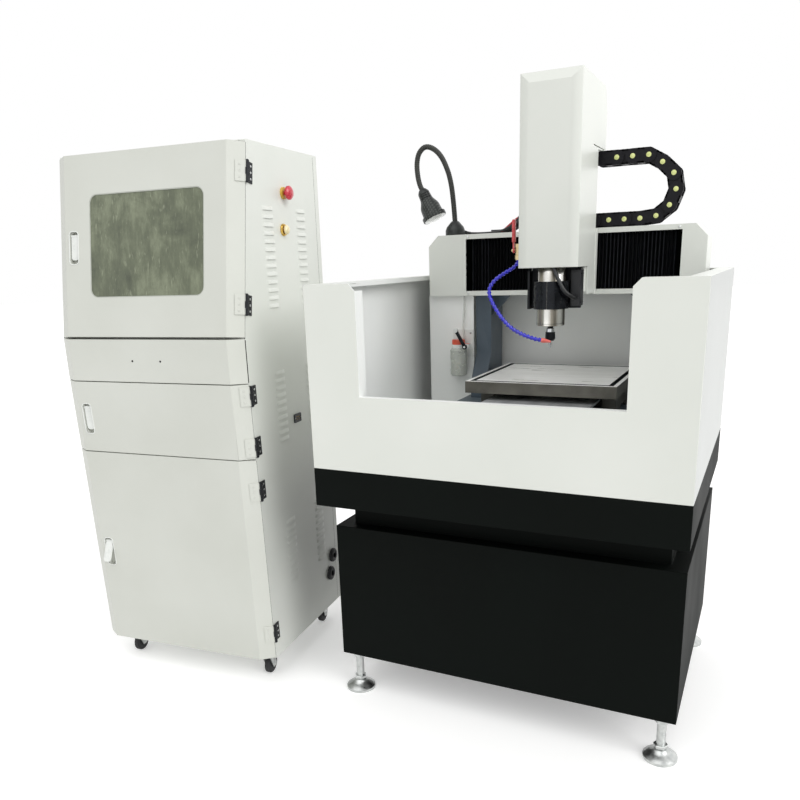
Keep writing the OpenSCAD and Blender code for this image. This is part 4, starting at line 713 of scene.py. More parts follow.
# %% Cabinet
dress("cabinet_shell", WHITE_COAT, 1.2)
dress("keyboard_drawer", CREAM_COAT_PAINTED_SHADE, 1.2, [(BLACK_ABS, on_keyboard)])
for face, name, heights in HINGES:
    dress(name, CREAM_COAT_PAINTED_SHADE, 1.2, [(SATIN_BLACK, on_knuckle(face, heights))])
dress("window", WINDOW)
for name in ["upper_latch", "middle_latch", "lower_latch"]:
    dress(name, LATCH_WHITE)
dress("door_hinges", SATIN_BLACK)
dress("panel_fittings", BLACK_ABS)
dress("stop_button", STOP_RED)
dress("power_button", BUTTON_CREAM)
dress("monitor", BLACK_ABS, 1.2)
dress("computer", DRIVE_GREY, 1.2)
for i in range(1, 5):
    dress(f"caster_fork_{i}", ZINC)
    dress(f"caster_wheel_{i}", RUBBER)
print("cabinet dressed")

# %% [markdown]
# ## Small fittings of the gantry
# The oiler is a hand pump with an orange-red cap over a milky cup that shows its oil. The lamp is
# black, its cable and the oil line are thin.

# %% Oiler, lamp and lines
dress("oil_pump", CAP_RED, 0.8, [
    (WHITE_ABS, lambda p, n: p.z < 1025 or p.y > 692 or p.x > -302)])
dress("oil_lever", BLACKENED, 0, [(WHITE_ABS, lambda p, n: p.z > 1066)])
dress("oil_line", CLEAR_TUBE)
dress("lamp_cable", CABLE)

# %% [markdown]
# ## Helpers for built pieces
# The small parts are built in millimetres in one of the working frames, as on a drawing. A bar, a
# turned profile, a plate with an outline and a bent tube cover most of them.

# %% Bars and turned bodies


def bar(shape, x, y, z):
    """A box between pairs of values. Its corners are returned."""
    corners = bmesh.ops.create_cube(shape, size=1)["verts"]
    for corner in corners:
        corner.co = Vector(pair[0] if at < 0 else pair[1] for pair, at in zip((x, y, z), corner.co))
    return corners


def turned(shape, profile, place=Matrix(), steps=28):
    """A closed body of revolution about z from (radius, height) pairs, or a ring if they come back."""
    rings = []
    for radius, height in profile:
        if radius < 1e-6:
            rings.append([shape.verts.new(place @ Vector((0, 0, height)))] * steps)
        else:
            turns = (2 * math.pi * i / steps for i in range(steps))
            points = [Vector((radius * math.cos(a), radius * math.sin(a), height)) for a in turns]
            rings.append([shape.verts.new(place @ point) for point in points])
    for low, high in zip(rings, rings[1:]):
        for i in range(steps):
            corners = [low[i], low[(i + 1) % steps], high[(i + 1) % steps], high[i]]
            corners = [c for n, c in enumerate(corners) if c not in corners[:n]]
            if len(corners) > 2:
                shape.faces.new(corners)
    for ring in (rings[0], rings[-1]):
        if ring[0] is not ring[1] and profile[0] != profile[-1]:
            shape.faces.new(ring)


print("a bar has 8 corners, and a turned body 28 sides unless told otherwise")

# %% [markdown]
# A plate is an outline that is given a thickness, as sheet is cut and a bar is milled.

# %% Plates


def prism(shape, outline, depth, place=Matrix()):
    """An outline in x and z, made `depth` thick along y from its plane."""
    near = [shape.verts.new(place @ Vector((x, 0, z))) for x, z in outline]
    far = [shape.verts.new(place @ Vector((x, depth, z))) for x, z in outline]
    shape.faces.new(near)
    shape.faces.new(far)
    for i in range(len(outline)):
        j = (i + 1) % len(outline)
        shape.faces.new([near[i], near[j], far[j], far[i]])


print("a plate stands up in x and z, and its thickness runs along y")

# %% [markdown]
# ## Bent tubes
# Hoses and wires are bent by hand, so only a few points of each are given, and a smooth curve is drawn
# through them. The tube's ring is carried along that curve without a twist.

# %% Curves and tubes


def smooth_path(points, steps=6):
    """A Catmull-Rom curve through the points, with so many steps between two of them."""
    points = [Vector(p) for p in points]
    ends = [2 * points[0] - points[1]] + points + [2 * points[-1] - points[-2]]
    path = []
    for a, b, c, d in zip(ends, ends[1:], ends[2:], ends[3:]):
        for i in range(steps):
            t = i / steps
            path.append(0.5 * (2 * b + (c - a) * t + (2 * a - 5 * b + 4 * c - d) * t ** 2
                               + (3 * b - a - 3 * c + d) * t ** 3))
    return path + [points[-1]]


def bent(shape, path, radius, steps=12):
    """A closed round tube along a path, its radius a number or one for each point."""
    path = [Vector(p) for p in path]
    radii = radius if isinstance(radius, list) else [radius] * len(path)
    side = None
    rings = []
    for i, point in enumerate(path):
        along = (path[min(i + 1, len(path) - 1)] - path[max(i - 1, 0)]).normalized()
        side = (side - along * side.dot(along)) if side else along.orthogonal()
        side.normalize()
        other = along.cross(side)
        rings.append([shape.verts.new(point + radii[i] * (side * math.cos(a) + other * math.sin(a)))
                      for a in (2 * math.pi * k / steps for k in range(steps))])
    for low, high in zip(rings, rings[1:]):
        for k in range(steps):
            shape.faces.new([low[k], low[(k + 1) % steps], high[(k + 1) % steps], high[k]])
    shape.faces.new(rings[0])
    shape.faces.new(rings[-1])


print("points on a path through three:", len(smooth_path([(0, 0, 0), (1, 0, 0), (1, 1, 0)])))

# %% [markdown]
# ## From a shape to a piece
# Each finished shape has its doubles merged and its faces turned outwards before it becomes an object
# at the origin. Parts that are moulded or filed get rounded edges as well.

# %% Finished pieces


def built(shape, name, place, material, body, stands_for=(), edge=0.0):
    """Turns a shape in working millimetres into a piece, with its edges rounded by `edge` mm."""
    bmesh.ops.transform(shape, matrix=place, verts=shape.verts)
    bmesh.ops.remove_doubles(shape, verts=shape.verts, dist=BUILT_WELD)
    bmesh.ops.recalc_face_normals(shape, faces=shape.faces)
    mesh = bpy.data.meshes.new(name)
    shape.to_mesh(mesh)
    shape.free()
    mesh.materials.append(material)
    shade(mesh)
    piece = put(name, mesh, body, stands_for)
    if edge:
        rounding = piece.modifiers.new("rounded_edges", "BEVEL")
        rounding.width = edge * MM
        rounding.segments = 2
        rounding.angle_limit = math.radians(50)
        rounding.harden_normals = True
    return piece


def boxes(name, place, material, body, sizes, edge=0.0):
    """A piece made of boxes, each three pairs of values."""
    shape = bmesh.new()
    for size in sizes:
        bar(shape, *size)
    return built(shape, name, place, material, body, edge=edge)


def lathed(name, place, material, body, profile, steps=32, stands_for=(), edge=0.0):
    """A piece that is one turned body, about the z axis of its place."""
    shape = bmesh.new()
    turned(shape, profile, steps=steps)
    return built(shape, name, place, material, body, stands_for, edge)


# %% [markdown]
# ## Growing repeated parts
# Screws, louvres, pleats and links repeat, so Geometry Nodes grow them. Every tree starts with named
# inputs, which carry the real sizes, and ends in the same way: its instances become real meshes and get
# their finish.

# %% A tree's start and end


def new_tree(name, sizes):
    """A geometry tree with a geometry input and output, named number inputs and a material input."""
    tree = bpy.data.node_groups.new(name, "GeometryNodeTree")
    face = tree.interface
    face.new_socket("Geometry", in_out="INPUT", socket_type="NodeSocketGeometry")
    for label, value in sizes.items():
        kind = "NodeSocketInt" if isinstance(value, int) else "NodeSocketFloat"
        face.new_socket(label, in_out="INPUT", socket_type=kind).default_value = value
    face.new_socket("Material", in_out="INPUT", socket_type="NodeSocketMaterial")
    face.new_socket("Geometry", in_out="OUTPUT", socket_type="NodeSocketGeometry")
    return tree, add(tree, "NodeGroupInput").outputs


def end_tree(tree, given, instances):
    """Realize Instances, Set Material and the output."""
    real = add(tree, "GeometryNodeRealizeInstances", {"Geometry": instances})
    coloured = add(tree, "GeometryNodeSetMaterial", {"Geometry": real, "Material": given["Material"]})
    add(tree, "NodeGroupOutput", {"Geometry": coloured})


print("node trees so far:", len(bpy.data.node_groups))

# %% [markdown]
# Cloth and pressed hoods are thin sheets, which get their thickness from a second surface. Many trees set
# one instance on each point and turn it to face the way the point says.

# %% Sheets and instances on points


def thickened(tree, surface, way):
    """A second surface, pushed this way and turned round, is sewn to the first along its edges."""
    pushed = add(tree, "GeometryNodeExtrudeMesh", {
        "Mesh": surface, "Offset": way, "Offset Scale": 1.0, "Individual": False})
    back = add(tree, "GeometryNodeFlipFaces", {"Mesh": pushed})
    both = add(tree, "GeometryNodeJoinGeometry", {0: [back, surface]})
    return add(tree, "GeometryNodeMergeByDistance", {"Geometry": both, "Distance": WELD})


def end_on_points(tree, given, instance, *turns):
    """Sets an instance on every point and ends the tree. Each turn is an axis, its way and a pivot."""
    facing = add(tree, "GeometryNodeInputNamedAttribute", {"Name": "facing"}, data_type="FLOAT_VECTOR")
    rotation = (0.0, 0.0, 0.0)
    for axis, way, pivot in turns:
        rotation = add(tree, "FunctionNodeAlignRotationToVector", {
            "Rotation": rotation, "Vector": way or facing}, axis=axis, pivot_axis=pivot)
    points = add(tree, "GeometryNodeMeshToPoints", {"Mesh": given["Geometry"]})
    rows = add(tree, "GeometryNodeInstanceOnPoints", {
        "Points": points, "Instance": instance, "Rotation": rotation})
    end_tree(tree, given, rows)


print("a sheet is sewn where its surfaces are closer than", round(WELD / MM, 3), "mm")

# %% [markdown]
# ## Running a tree
# A tree runs as a modifier on a carrier. The result is frozen into a plain mesh at the origin, because a
# piece has to stay as it is when its body moves, and the carrier is thrown away.

# %% Running a tree


def grow(tree, carrier, sizes, material, name, body, stands_for=(), turn=TURN):
    """Runs a tree on a carrier object, freezes the result at the origin and puts it on its body."""
    growth = carrier.modifiers.new("growth", "NODES")
    growth.node_group = tree
    for item in tree.interface.items_tree:
        if item.in_out == "INPUT" and item.name in sizes:
            growth[item.identifier] = sizes[item.name]
        if item.in_out == "INPUT" and item.name == "Material":
            growth[item.identifier] = material
    seen = carrier.evaluated_get(bpy.context.evaluated_depsgraph_get())
    mesh = bpy.data.meshes.new_from_object(seen)
    mesh.name = name
    bpy.data.objects.remove(carrier)
    shade(mesh, turn)
    return put(name, mesh, body, stands_for)


print("grown edges stay crisp from", round(math.degrees(TURN)), "degrees")

# %% [markdown]
# ## Carriers
# A tree is fed by a cloud of points, each with the way it faces, or by a curve.

# %% Carriers


def point_cloud(place, spots):
    """A carrier of loose points. Each spot is a point and the way it faces, in a working frame."""
    turn = place.to_3x3().normalized()
    mesh = bpy.data.meshes.new("points")
    mesh.from_pydata([place @ Vector(point) for point, _ in spots], [], [])
    facing = mesh.attributes.new("facing", "FLOAT_VECTOR", "POINT")
    for i, (_, way) in enumerate(spots):
        facing.data[i].vector = (turn @ Vector(way)).normalized()
    carrier = bpy.data.objects.new("points", mesh)
    into_scene(carrier)
    return carrier


def path_carrier(place, path):
    """A carrier with one poly curve through the points of a path in a working frame."""
    curve = bpy.data.curves.new("path", "CURVE")
    curve.dimensions = "3D"
    line = curve.splines.new("POLY")
    line.points.add(len(path) - 1)
    for spot_on, point in zip(line.points, path):
        spot_on.co = (place @ Vector(point)).to_4d()
    carrier = bpy.data.objects.new("path", curve)
    into_scene(carrier)
    return carrier


# %% [markdown]
# ## Screws
# Socket-head cap screws hold most plates here. One tree makes a head from a 12-sided disc: it is raised,
# its rim is chamfered, and a socket is sunk in its middle. Such a head has about sixty faces.

# %% A tree for screw heads
SCREWS, given = new_tree("socket_screws", {"Diameter": 0.01, "Head": 0.005, "Socket": 0.5})
radius = add(SCREWS, "ShaderNodeMath", {0: given["Diameter"], 1: 0.5}, operation="MULTIPLY")
disc = add(SCREWS, "GeometryNodeMeshCircle", {"Vertices": 12, "Radius": radius}, fill_type="NGON")
raised = add(SCREWS, "GeometryNodeExtrudeMesh", {"Mesh": disc, "Offset Scale": given["Head"]})
rim = add(SCREWS, "ShaderNodeMath", {0: given["Diameter"], 1: 0.05}, operation="MULTIPLY")
chamfer = add(SCREWS, "GeometryNodeExtrudeMesh", {
    "Mesh": raised, "Selection": raised.outputs["Top"], "Offset Scale": rim})
chamfered = add(SCREWS, "GeometryNodeScaleElements", {
    "Geometry": chamfer, "Selection": chamfer.outputs["Top"], "Scale": 0.84})
inner = add(SCREWS, "GeometryNodeExtrudeMesh", {
    "Mesh": chamfered, "Selection": chamfer.outputs["Top"], "Offset Scale": 0.0})
ringed = add(SCREWS, "GeometryNodeScaleElements", {
    "Geometry": inner, "Selection": inner.outputs["Top"], "Scale": given["Socket"]})
sink = add(SCREWS, "ShaderNodeMath", {0: given["Head"], 1: -0.8}, operation="MULTIPLY")
socket = add(SCREWS, "GeometryNodeExtrudeMesh", {
    "Mesh": ringed, "Selection": inner.outputs["Top"], "Offset Scale": sink})
end_on_points(SCREWS, given, socket, ("Z", None, "AUTO"))
print("screw tree:", len(SCREWS.nodes), "nodes")

# %% [markdown]
# ## Screws on the machine
# A row of screws is a cloud of points that face one way, in the frame of the plate that they hold. They
# are M4 to M6 here, on the carriage plate, the slide's guard and the beam's trim.

# %% Screws
FRONT = (0, -1, 0)


def screws(name, place, spots, body, material=SCREW_BLACK, size=10, head=4.5, hole=0.5):
    """Screw heads of `size` mm, `head` mm high, at spots that face a way."""
    sizes = {"Diameter": size * MM, "Head": head * MM, "Socket": hole}
    return grow(SCREWS, point_cloud(place, spots), sizes, material, name, body)


screws("carriage_screws", MACHINE,
       [((x, 650, z), FRONT) for x in (-37, 117) for z in (1196, 1248, 1314, 1366)],
       "head", SCREW_BLACK, 8.5, 3)
screws("trim_screws", MACHINE,
       [((x, 678.6, z), FRONT) for x in (-292, -36, 116, 356) for z in (1191, 1370.5)],
       "frame", SCREW_ZINC, 7, 1.2)
screws("guard_screws", MACHINE,
       [((-32, y, z), (-1, 0, 0)) for y in (492, 514) for z in (1163, 1207, 1251)],
       "spindle_slide", SCREW_BLACK, 6, 2)
print("screw pieces:", sum("screws" in piece.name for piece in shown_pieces()))

# %% [markdown]
# ## Trim of the beam
# Two strips of folded sheet are screwed to the beam's front, over and under the bellows. They
# hide the ends of the pleats.

# %% Beam trim
boxes("beam_trim", MACHINE, WHITE_COAT, "frame",
      [((-300, 364), (678.8, 680.4), (low, low + 14.7)) for low in (1184.4, 1362.9)], 0.5)
print("beam trim: two strips", 364 + 300, "mm long")

# %% [markdown]
# ## The bellows
# Pleated covers of coated cloth keep chips off the rails. On the machine they fold and open as the head
# travels; here each is grown in sections of a few pleats, from the beam to the head.
# The tree starts from a flat grid with six columns for each pleat, and measures how far along and how
# high each of its points is.

# %% A tree for pleats: the grid
PLEATS, given = new_tree("pleated_cover", {
    "Start": 0.0, "Pitch": 0.014, "Pleats": 4, "Depth": 0.011, "Height": 0.16, "Floor": 1.2, "Front": 0.69,
    "Cloth": 0.0012})
length = add(PLEATS, "ShaderNodeMath", {0: given["Pitch"], 1: given["Pleats"]}, operation="MULTIPLY")
columns = add(PLEATS, "ShaderNodeMath", {0: given["Pleats"], 1: 6.0, 2: 1.0}, operation="MULTIPLY_ADD")
grid = add(PLEATS, "GeometryNodeMeshGrid", {
    "Size X": length, "Size Y": given["Height"], "Vertices X": columns, "Vertices Y": 2})
at = add(PLEATS, "GeometryNodeInputPosition")
parts = add(PLEATS, "ShaderNodeSeparateXYZ", {0: at})
half_length = add(PLEATS, "ShaderNodeMath", {0: length, 1: 0.5}, operation="MULTIPLY")
along = add(PLEATS, "ShaderNodeMath", {0: parts.outputs["X"], 1: half_length})
half_height = add(PLEATS, "ShaderNodeMath", {0: given["Height"], 1: 0.5}, operation="MULTIPLY")
above_edge = add(PLEATS, "ShaderNodeMath", {0: parts.outputs["Y"], 1: half_height})
print("columns for 4 pleats:", 4 * 6 + 1)

# %% [markdown]
# A pleat is a triangle wave that is rounded off a little at its ridge. The wave sets the depth of each
# point, so the grid's depth zigzags with its length.

# %% A tree for pleats: the folds
wave = add(PLEATS, "ShaderNodeMath", {0: along, 1: given["Pitch"]}, operation="DIVIDE")
wave = add(PLEATS, "ShaderNodeMath", {0: wave, 1: 1.0, 2: 0.0}, operation="WRAP")
for step, value in (("SUBTRACT", 0.5), ("ABSOLUTE", 0.0), ("MULTIPLY", 2.0)):
    wave = add(PLEATS, "ShaderNodeMath", {0: wave, 1: value}, operation=step)
rounded = add(PLEATS, "ShaderNodeMath", {0: wave, 1: 1.25}, operation="POWER")
fold = add(PLEATS, "ShaderNodeMath", {
    0: rounded, 1: given["Depth"], 2: given["Front"]}, operation="MULTIPLY_ADD")
x_value = add(PLEATS, "ShaderNodeMath", {0: along, 1: given["Start"]})
z_value = add(PLEATS, "ShaderNodeMath", {0: above_edge, 1: given["Floor"]})
new_place = add(PLEATS, "ShaderNodeCombineXYZ", {0: x_value, 1: fold, 2: z_value})
folded = add(PLEATS, "GeometryNodeSetPosition", {"Geometry": grid, "Position": new_place})
print("pleat tree:", len(PLEATS.nodes), "nodes so far")

# %% [markdown]
# A stored attribute marks the ridges for the finish. The cloth gets its thickness last: a copy of it is
# pushed back and turned round, and the two are sewn along their edges.

# %% A tree for pleats: the cloth
ridge = add(PLEATS, "ShaderNodeMath", {0: 1.0, 1: wave}, operation="SUBTRACT")
marked = add(PLEATS, "GeometryNodeStoreNamedAttribute", {
    "Geometry": folded, "Name": "ridge", "Value": ridge}, data_type="FLOAT", domain="POINT")
back_way = add(PLEATS, "ShaderNodeCombineXYZ", {1: given["Cloth"]})
end_tree(PLEATS, given, thickened(PLEATS, marked, back_way))
print("pleat tree:", len(PLEATS.nodes), "nodes")

# %% [markdown]
# The cloth is nearly black and glossy, and its ridges are painted lighter: a painted sheen on the folds,
# broken up by a noise. The ridge attribute that the tree stored drives that.

# %% Cloth with a painted sheen on its ridges
PLEAT_CLOTH, tree = new_material("pleated_coated_cloth")
ridge = add(tree, "ShaderNodeAttribute", attribute_name="ridge")
place = add(tree, "ShaderNodeTexCoord").outputs["Object"]
sheen_patches = add(tree, "ShaderNodeTexNoise", {"Vector": place, "Scale": 30.0, "Detail": 3.0})
edge_share = add(tree, "ShaderNodeMapRange", {
    "Value": ridge.outputs["Fac"], "From Min": 0.72, "From Max": 1.0})
wear_and_sheen = add(tree, "ShaderNodeMath", {0: edge_share, 1: sheen_patches}, operation="MULTIPLY")
# Painted sheen: the ridges get a lighter colour
colour = add(tree, "ShaderNodeMix", {0: wear_and_sheen, 6: linear("#050608"), 7: linear("#3d4046")}, data_type="RGBA")
leather = add(tree, "ShaderNodeTexNoise", {"Vector": place, "Scale": 1 / (0.9 * MM)})
bump = add(tree, "ShaderNodeBump", {"Height": leather, "Strength": 0.5, "Distance": 0.05 * MM})
shader = add(tree, "ShaderNodeBsdfPrincipled", {
    "Base Color": colour.outputs[2], "Roughness": 0.42, "Normal": bump, "Specular IOR Level": 0.3})
add(tree, "ShaderNodeOutputMaterial", {"Surface": shader})
print("bellows cloth:", len(tree.nodes), "nodes")

# %% [markdown]
# A section between two shares of the travel, such as 0.2 and 0.35, would move by exactly those shares
# at its two edges. A smooth step reaches them at two places, so the step's own start and end lie further
# out along the same line. Those ends are worked out here, and each piece is baked where it is grown.

# %% Blending by shares


def step_back(share):
    """Where a smooth step from 0 to 1 reaches a share."""
    return 0.5 - math.sin(math.asin(1 - 2 * share) / 3)


def blend_shares(piece, low, high, shares):
    """Bakes the piece in place and works out the step's ends for the shares, but makes no blend.
    `low` and `high` are not used.
    """
    first, last = (step_back(share) for share in shares)
    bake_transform(piece)


print("half the travel is reached at", step_back(0.5))

# %% [markdown]
# Both bellows are made of such sections.
# The sections are smaller near the ends.

# %% Bellows
# Side, x of its end on the beam, x of its end on the head, and how many pleats each section has
BELLOWS = [("left", -287, -31, (1, 2, 3, 4, 4, 4, 3, 2, 1)),
           ("right", 351, 111, (1, 2, 3, 3, 4, 3, 3, 2, 1))]
for side, fixed, moving, groups in BELLOWS:
    count = sum(groups)
    pitch = (moving - fixed) / count
    done = 0
    for number, pleats in enumerate(groups):
        low, high = (spot(MACHINE, fixed + pitch * n, 690, 1280) for n in (done, done + pleats))
        sizes = {"Start": min(low.x, high.x), "Pitch": abs(pitch) * MM, "Pleats": pleats,
                 "Height": 0.1628, "Floor": 1.1996, "Front": spot(MACHINE, 0, 690.6, 0).y}
        stands_for = [f"bellows_{side}"] if number == 0 else []
        piece = grow(PLEATS, point_cloud(MACHINE, [((0, 0, 0), FRONT)]), sizes, PLEAT_CLOTH,
                     f"bellows_{side}_{number + 1}", None, stands_for, turn=0.2)
        blend_shares(piece, low, high, (done / count, (done + pleats) / count))
        done += pleats
    print(side, "bellows:", count, "pleats of", round(abs(pitch), 1), "mm")

# %% [markdown]
# ## The energy chain
# Cables to the moving head run in a chain of moulded nylon links that swivel on pins. Every second
# link is narrower and sits between its neighbours. A tree grows one link between two pins. Each of its
# sides is the hull of two discs, with a boss round the pin.

# %% A tree for one link: a side
LINK, given = new_tree("chain_link", {
    "Pitch": 0.045, "Height": 0.042, "Width": 0.052, "Side": 0.003, "Boss": 0.019})
radius = add(LINK, "ShaderNodeMath", {0: given["Height"], 1: 0.5}, operation="MULTIPLY")
disc = add(LINK, "GeometryNodeMeshCylinder", {"Vertices": 18, "Radius": radius, "Depth": given["Side"]})
shift = add(LINK, "ShaderNodeCombineXYZ", {0: given["Pitch"]})
other = add(LINK, "GeometryNodeTransform", {"Geometry": disc, "Translation": shift})
both = add(LINK, "GeometryNodeJoinGeometry", {0: [disc, other]})
side = add(LINK, "GeometryNodeConvexHull", {0: both})
boss_radius = add(LINK, "ShaderNodeMath", {0: given["Boss"], 1: 0.5}, operation="MULTIPLY")
boss_depth = add(LINK, "ShaderNodeMath", {0: given["Side"], 1: 1.5}, operation="MULTIPLY")
boss = add(LINK, "GeometryNodeMeshCylinder", {"Vertices": 14, "Radius": boss_radius, "Depth": boss_depth})
with_boss = add(LINK, "GeometryNodeJoinGeometry", {0: [side, boss]})
print("a link's side:", len(LINK.nodes), "nodes")

# %% [markdown]
# The two sides stand half the inner width to either side of the middle. Ribbed bars across them, above
# and below, keep the cables in.

# %% A tree for one link: sides and bars
inner_width = add(LINK, "ShaderNodeMath", {0: given["Width"], 1: given["Side"]}, operation="SUBTRACT")
half_width = add(LINK, "ShaderNodeMath", {0: inner_width, 1: 0.5}, operation="MULTIPLY")
other_way = add(LINK, "ShaderNodeMath", {0: inner_width, 1: -0.5}, operation="MULTIPLY")
far = add(LINK, "ShaderNodeCombineXYZ", {2: half_width})
near = add(LINK, "ShaderNodeCombineXYZ", {2: other_way})
link_parts = [add(LINK, "GeometryNodeTransform", {"Geometry": with_boss, "Translation": way})
              for way in (far, near)]
bar_length = add(LINK, "ShaderNodeMath", {0: given["Pitch"], 1: 0.44}, operation="MULTIPLY")
bar_size = add(LINK, "ShaderNodeCombineXYZ", {0: bar_length, 1: 0.0035, 2: given["Width"]})
rib_size = add(LINK, "ShaderNodeCombineXYZ", {0: 0.003, 1: 0.0055, 2: given["Width"]})
middle = add(LINK, "ShaderNodeMath", {0: given["Pitch"], 1: 0.5}, operation="MULTIPLY")
bar_level = add(LINK, "ShaderNodeMath", {0: radius, 1: 0.00275}, operation="SUBTRACT")
for sign in (1, -1):
    level = add(LINK, "ShaderNodeMath", {0: bar_level, 1: sign}, operation="MULTIPLY")
    for size_in, offset in ((bar_size, 0.0), (rib_size, -0.006), (rib_size, 0.006)):
        cross = add(LINK, "GeometryNodeMeshCube", {"Size": size_in})
        along = add(LINK, "ShaderNodeMath", {0: middle, 1: offset}, operation="ADD")
        where = add(LINK, "ShaderNodeCombineXYZ", {0: along, 1: level})
        link_parts.append(add(LINK, "GeometryNodeTransform", {"Geometry": cross, "Translation": where}))
one_link = add(LINK, "GeometryNodeJoinGeometry", {0: link_parts})
print("parts of a link:", len(link_parts))

# %% [markdown]
# The link is drawn with x along it and z across the chain. It is laid on its side first, and then turned
# about the pin to point at the next one.

# %% A tree for one link: its place
end_on_points(LINK, given, one_link, ("Z", (0.0, 1.0, 0.0), "AUTO"), ("X", None, "Z"))
print("link tree:", len(LINK.nodes), "nodes")

# %% [markdown]
# The chain's shape comes from the angle of each link, from the bracket on the head round to the beam,
# where its last links lie on the top. These are the pins of the CAD's chain.

# %% The chain's route
CHAIN_ANGLES = [0, 0, 0, -30, -44, -79, -110, -142, -174, -180, -180, -180, -180, -180]
PITCH = 45
CHAIN_Y = 714
FIRST_X = 123
BEAM_TOP = 1378
LAST_Z = BEAM_TOP + 21.3
pins = [(FIRST_X, LAST_Z - sum(PITCH * math.sin(math.radians(a)) for a in CHAIN_ANGLES))]
for angle in CHAIN_ANGLES:
    turn = math.radians(angle)
    pins.append((pins[-1][0] + PITCH * math.cos(turn), pins[-1][1] + PITCH * math.sin(turn)))
print("chain: top run at", round(pins[0][1]), "mm")

# %% [markdown]
# Each link is grown as a piece of its own, and each pin after the first gets two pale caps.

# %% Chain links and pins
count = len(CHAIN_ANGLES)
for i, (a, b) in enumerate(zip(pins, pins[1:])):
    carrier = point_cloud(MACHINE, [((a[0], CHAIN_Y, a[1]), (b[0] - a[0], 0, b[1] - a[1]))])
    sizes = {"Pitch": PITCH * MM, "Height": 0.0418, "Width": 0.0514 - 0.0066 * (i % 2)}
    piece = grow(LINK, carrier, sizes, NYLON, f"chain_link_{i + 1}", None,
                 ["energy_chain"] if i == 0 else [])
    low, high = (spot(MACHINE, p[0], CHAIN_Y, p[1]) for p in (a, b))
    shares = (i / count, (i + 1) / count)
    blend_shares(piece, low, high, shares)
    if i:
        cap = bmesh.new()
        for y in (CHAIN_Y - 27.0, CHAIN_Y + 25.4):
            turned(cap, [(0, 0), (6.2, 0), (7.2, 0.6), (7.2, 1.6), (0, 1.6)],
                   placed((a[0], y, a[1]), -90), 14)
        cap = built(cap, f"chain_pin_{i}", MACHINE, YELLOW_PIN, None)
        blend_shares(cap, low, high, shares)
print("chain:", count, "links of", PITCH, "mm")

# %% [markdown]
# The chain ends on the head in an angle plate, which the CAD gives. On the beam it ends in a bracket:
# a plate with two cheeks that hold the last link's pin, and two screws.

# %% Chain's end bracket
bracket = bmesh.new()
end_x = pins[-1][0]
bar(bracket, (end_x - 30, end_x + 4), (CHAIN_Y - 14, CHAIN_Y + 14), (BEAM_TOP + 0.2, BEAM_TOP + 4))
for y in (CHAIN_Y - 20.4, CHAIN_Y + 17.4):
    prism(bracket, [(end_x - 9, 1378.2), (end_x + 9, 1378.2), (end_x + 9, 1404), (end_x + 4, 1408),
                    (end_x - 4, 1408), (end_x - 9, 1404)], 3, placed((0, y, 0)))
built(bracket, "chain_bracket", MACHINE, NYLON, "frame", edge=0.5)
screws("bracket_screws", MACHINE,
       [((end_x - 21, CHAIN_Y + y, BEAM_TOP + 4), (0, 0, 1)) for y in (-8, 8)],
       "frame", SCREW_ZINC, 8, 3)
print("chain's end at x =", round(end_x), "mm")

# %% [markdown]
# ## The segmented coolant hose
# Adjustable coolant hose is a row of acetal joints, each a ball that snaps into the skirt of the next. A
# tree puts such a joint at even steps along the route, turned along it, over a thin core.

# %% A tree for jointed hose
HOSE, given = new_tree("jointed_hose", {"Step": 0.0115, "Diameter": 0.014})
radius = add(HOSE, "ShaderNodeMath", {0: given["Diameter"], 1: 0.5}, operation="MULTIPLY")
neck = add(HOSE, "ShaderNodeMath", {0: radius, 1: 0.62}, operation="MULTIPLY")
skirt_length = add(HOSE, "ShaderNodeMath", {0: given["Step"], 1: 0.56}, operation="MULTIPLY")
skirt = add(HOSE, "GeometryNodeMeshCone", {
    "Vertices": 16, "Radius Top": neck, "Radius Bottom": radius, "Depth": skirt_length})
ball = add(HOSE, "GeometryNodeMeshUVSphere", {"Segments": 14, "Rings": 6, "Radius": radius})
squat = add(HOSE, "GeometryNodeTransform", {"Geometry": ball, "Scale": (0.8, 0.8, 0.66)})
unit = add(HOSE, "GeometryNodeJoinGeometry", {0: [skirt, squat]})
stations = add(HOSE, "GeometryNodeCurveToPoints", {
    "Curve": given["Geometry"], "Length": given["Step"]}, mode="LENGTH")
rows = add(HOSE, "GeometryNodeInstanceOnPoints", {
    "Points": stations, "Instance": unit, "Rotation": stations.outputs["Rotation"]})
core_ring = add(HOSE, "GeometryNodeCurvePrimitiveCircle", {"Resolution": 10, "Radius": neck})
core = add(HOSE, "GeometryNodeCurveToMesh", {
    "Curve": given["Geometry"], "Profile Curve": core_ring, "Fill Caps": True})
hose_all = add(HOSE, "GeometryNodeJoinGeometry", {0: [rows, core]})
end_tree(HOSE, given, hose_all)
print("hose tree:", len(HOSE.nodes), "nodes")

# %% [markdown]
# Such a hose stays where it is bent. Its route's points are those of the CAD's hose, from the valve to
# the tool, and the nozzle is a turned cone at its end.

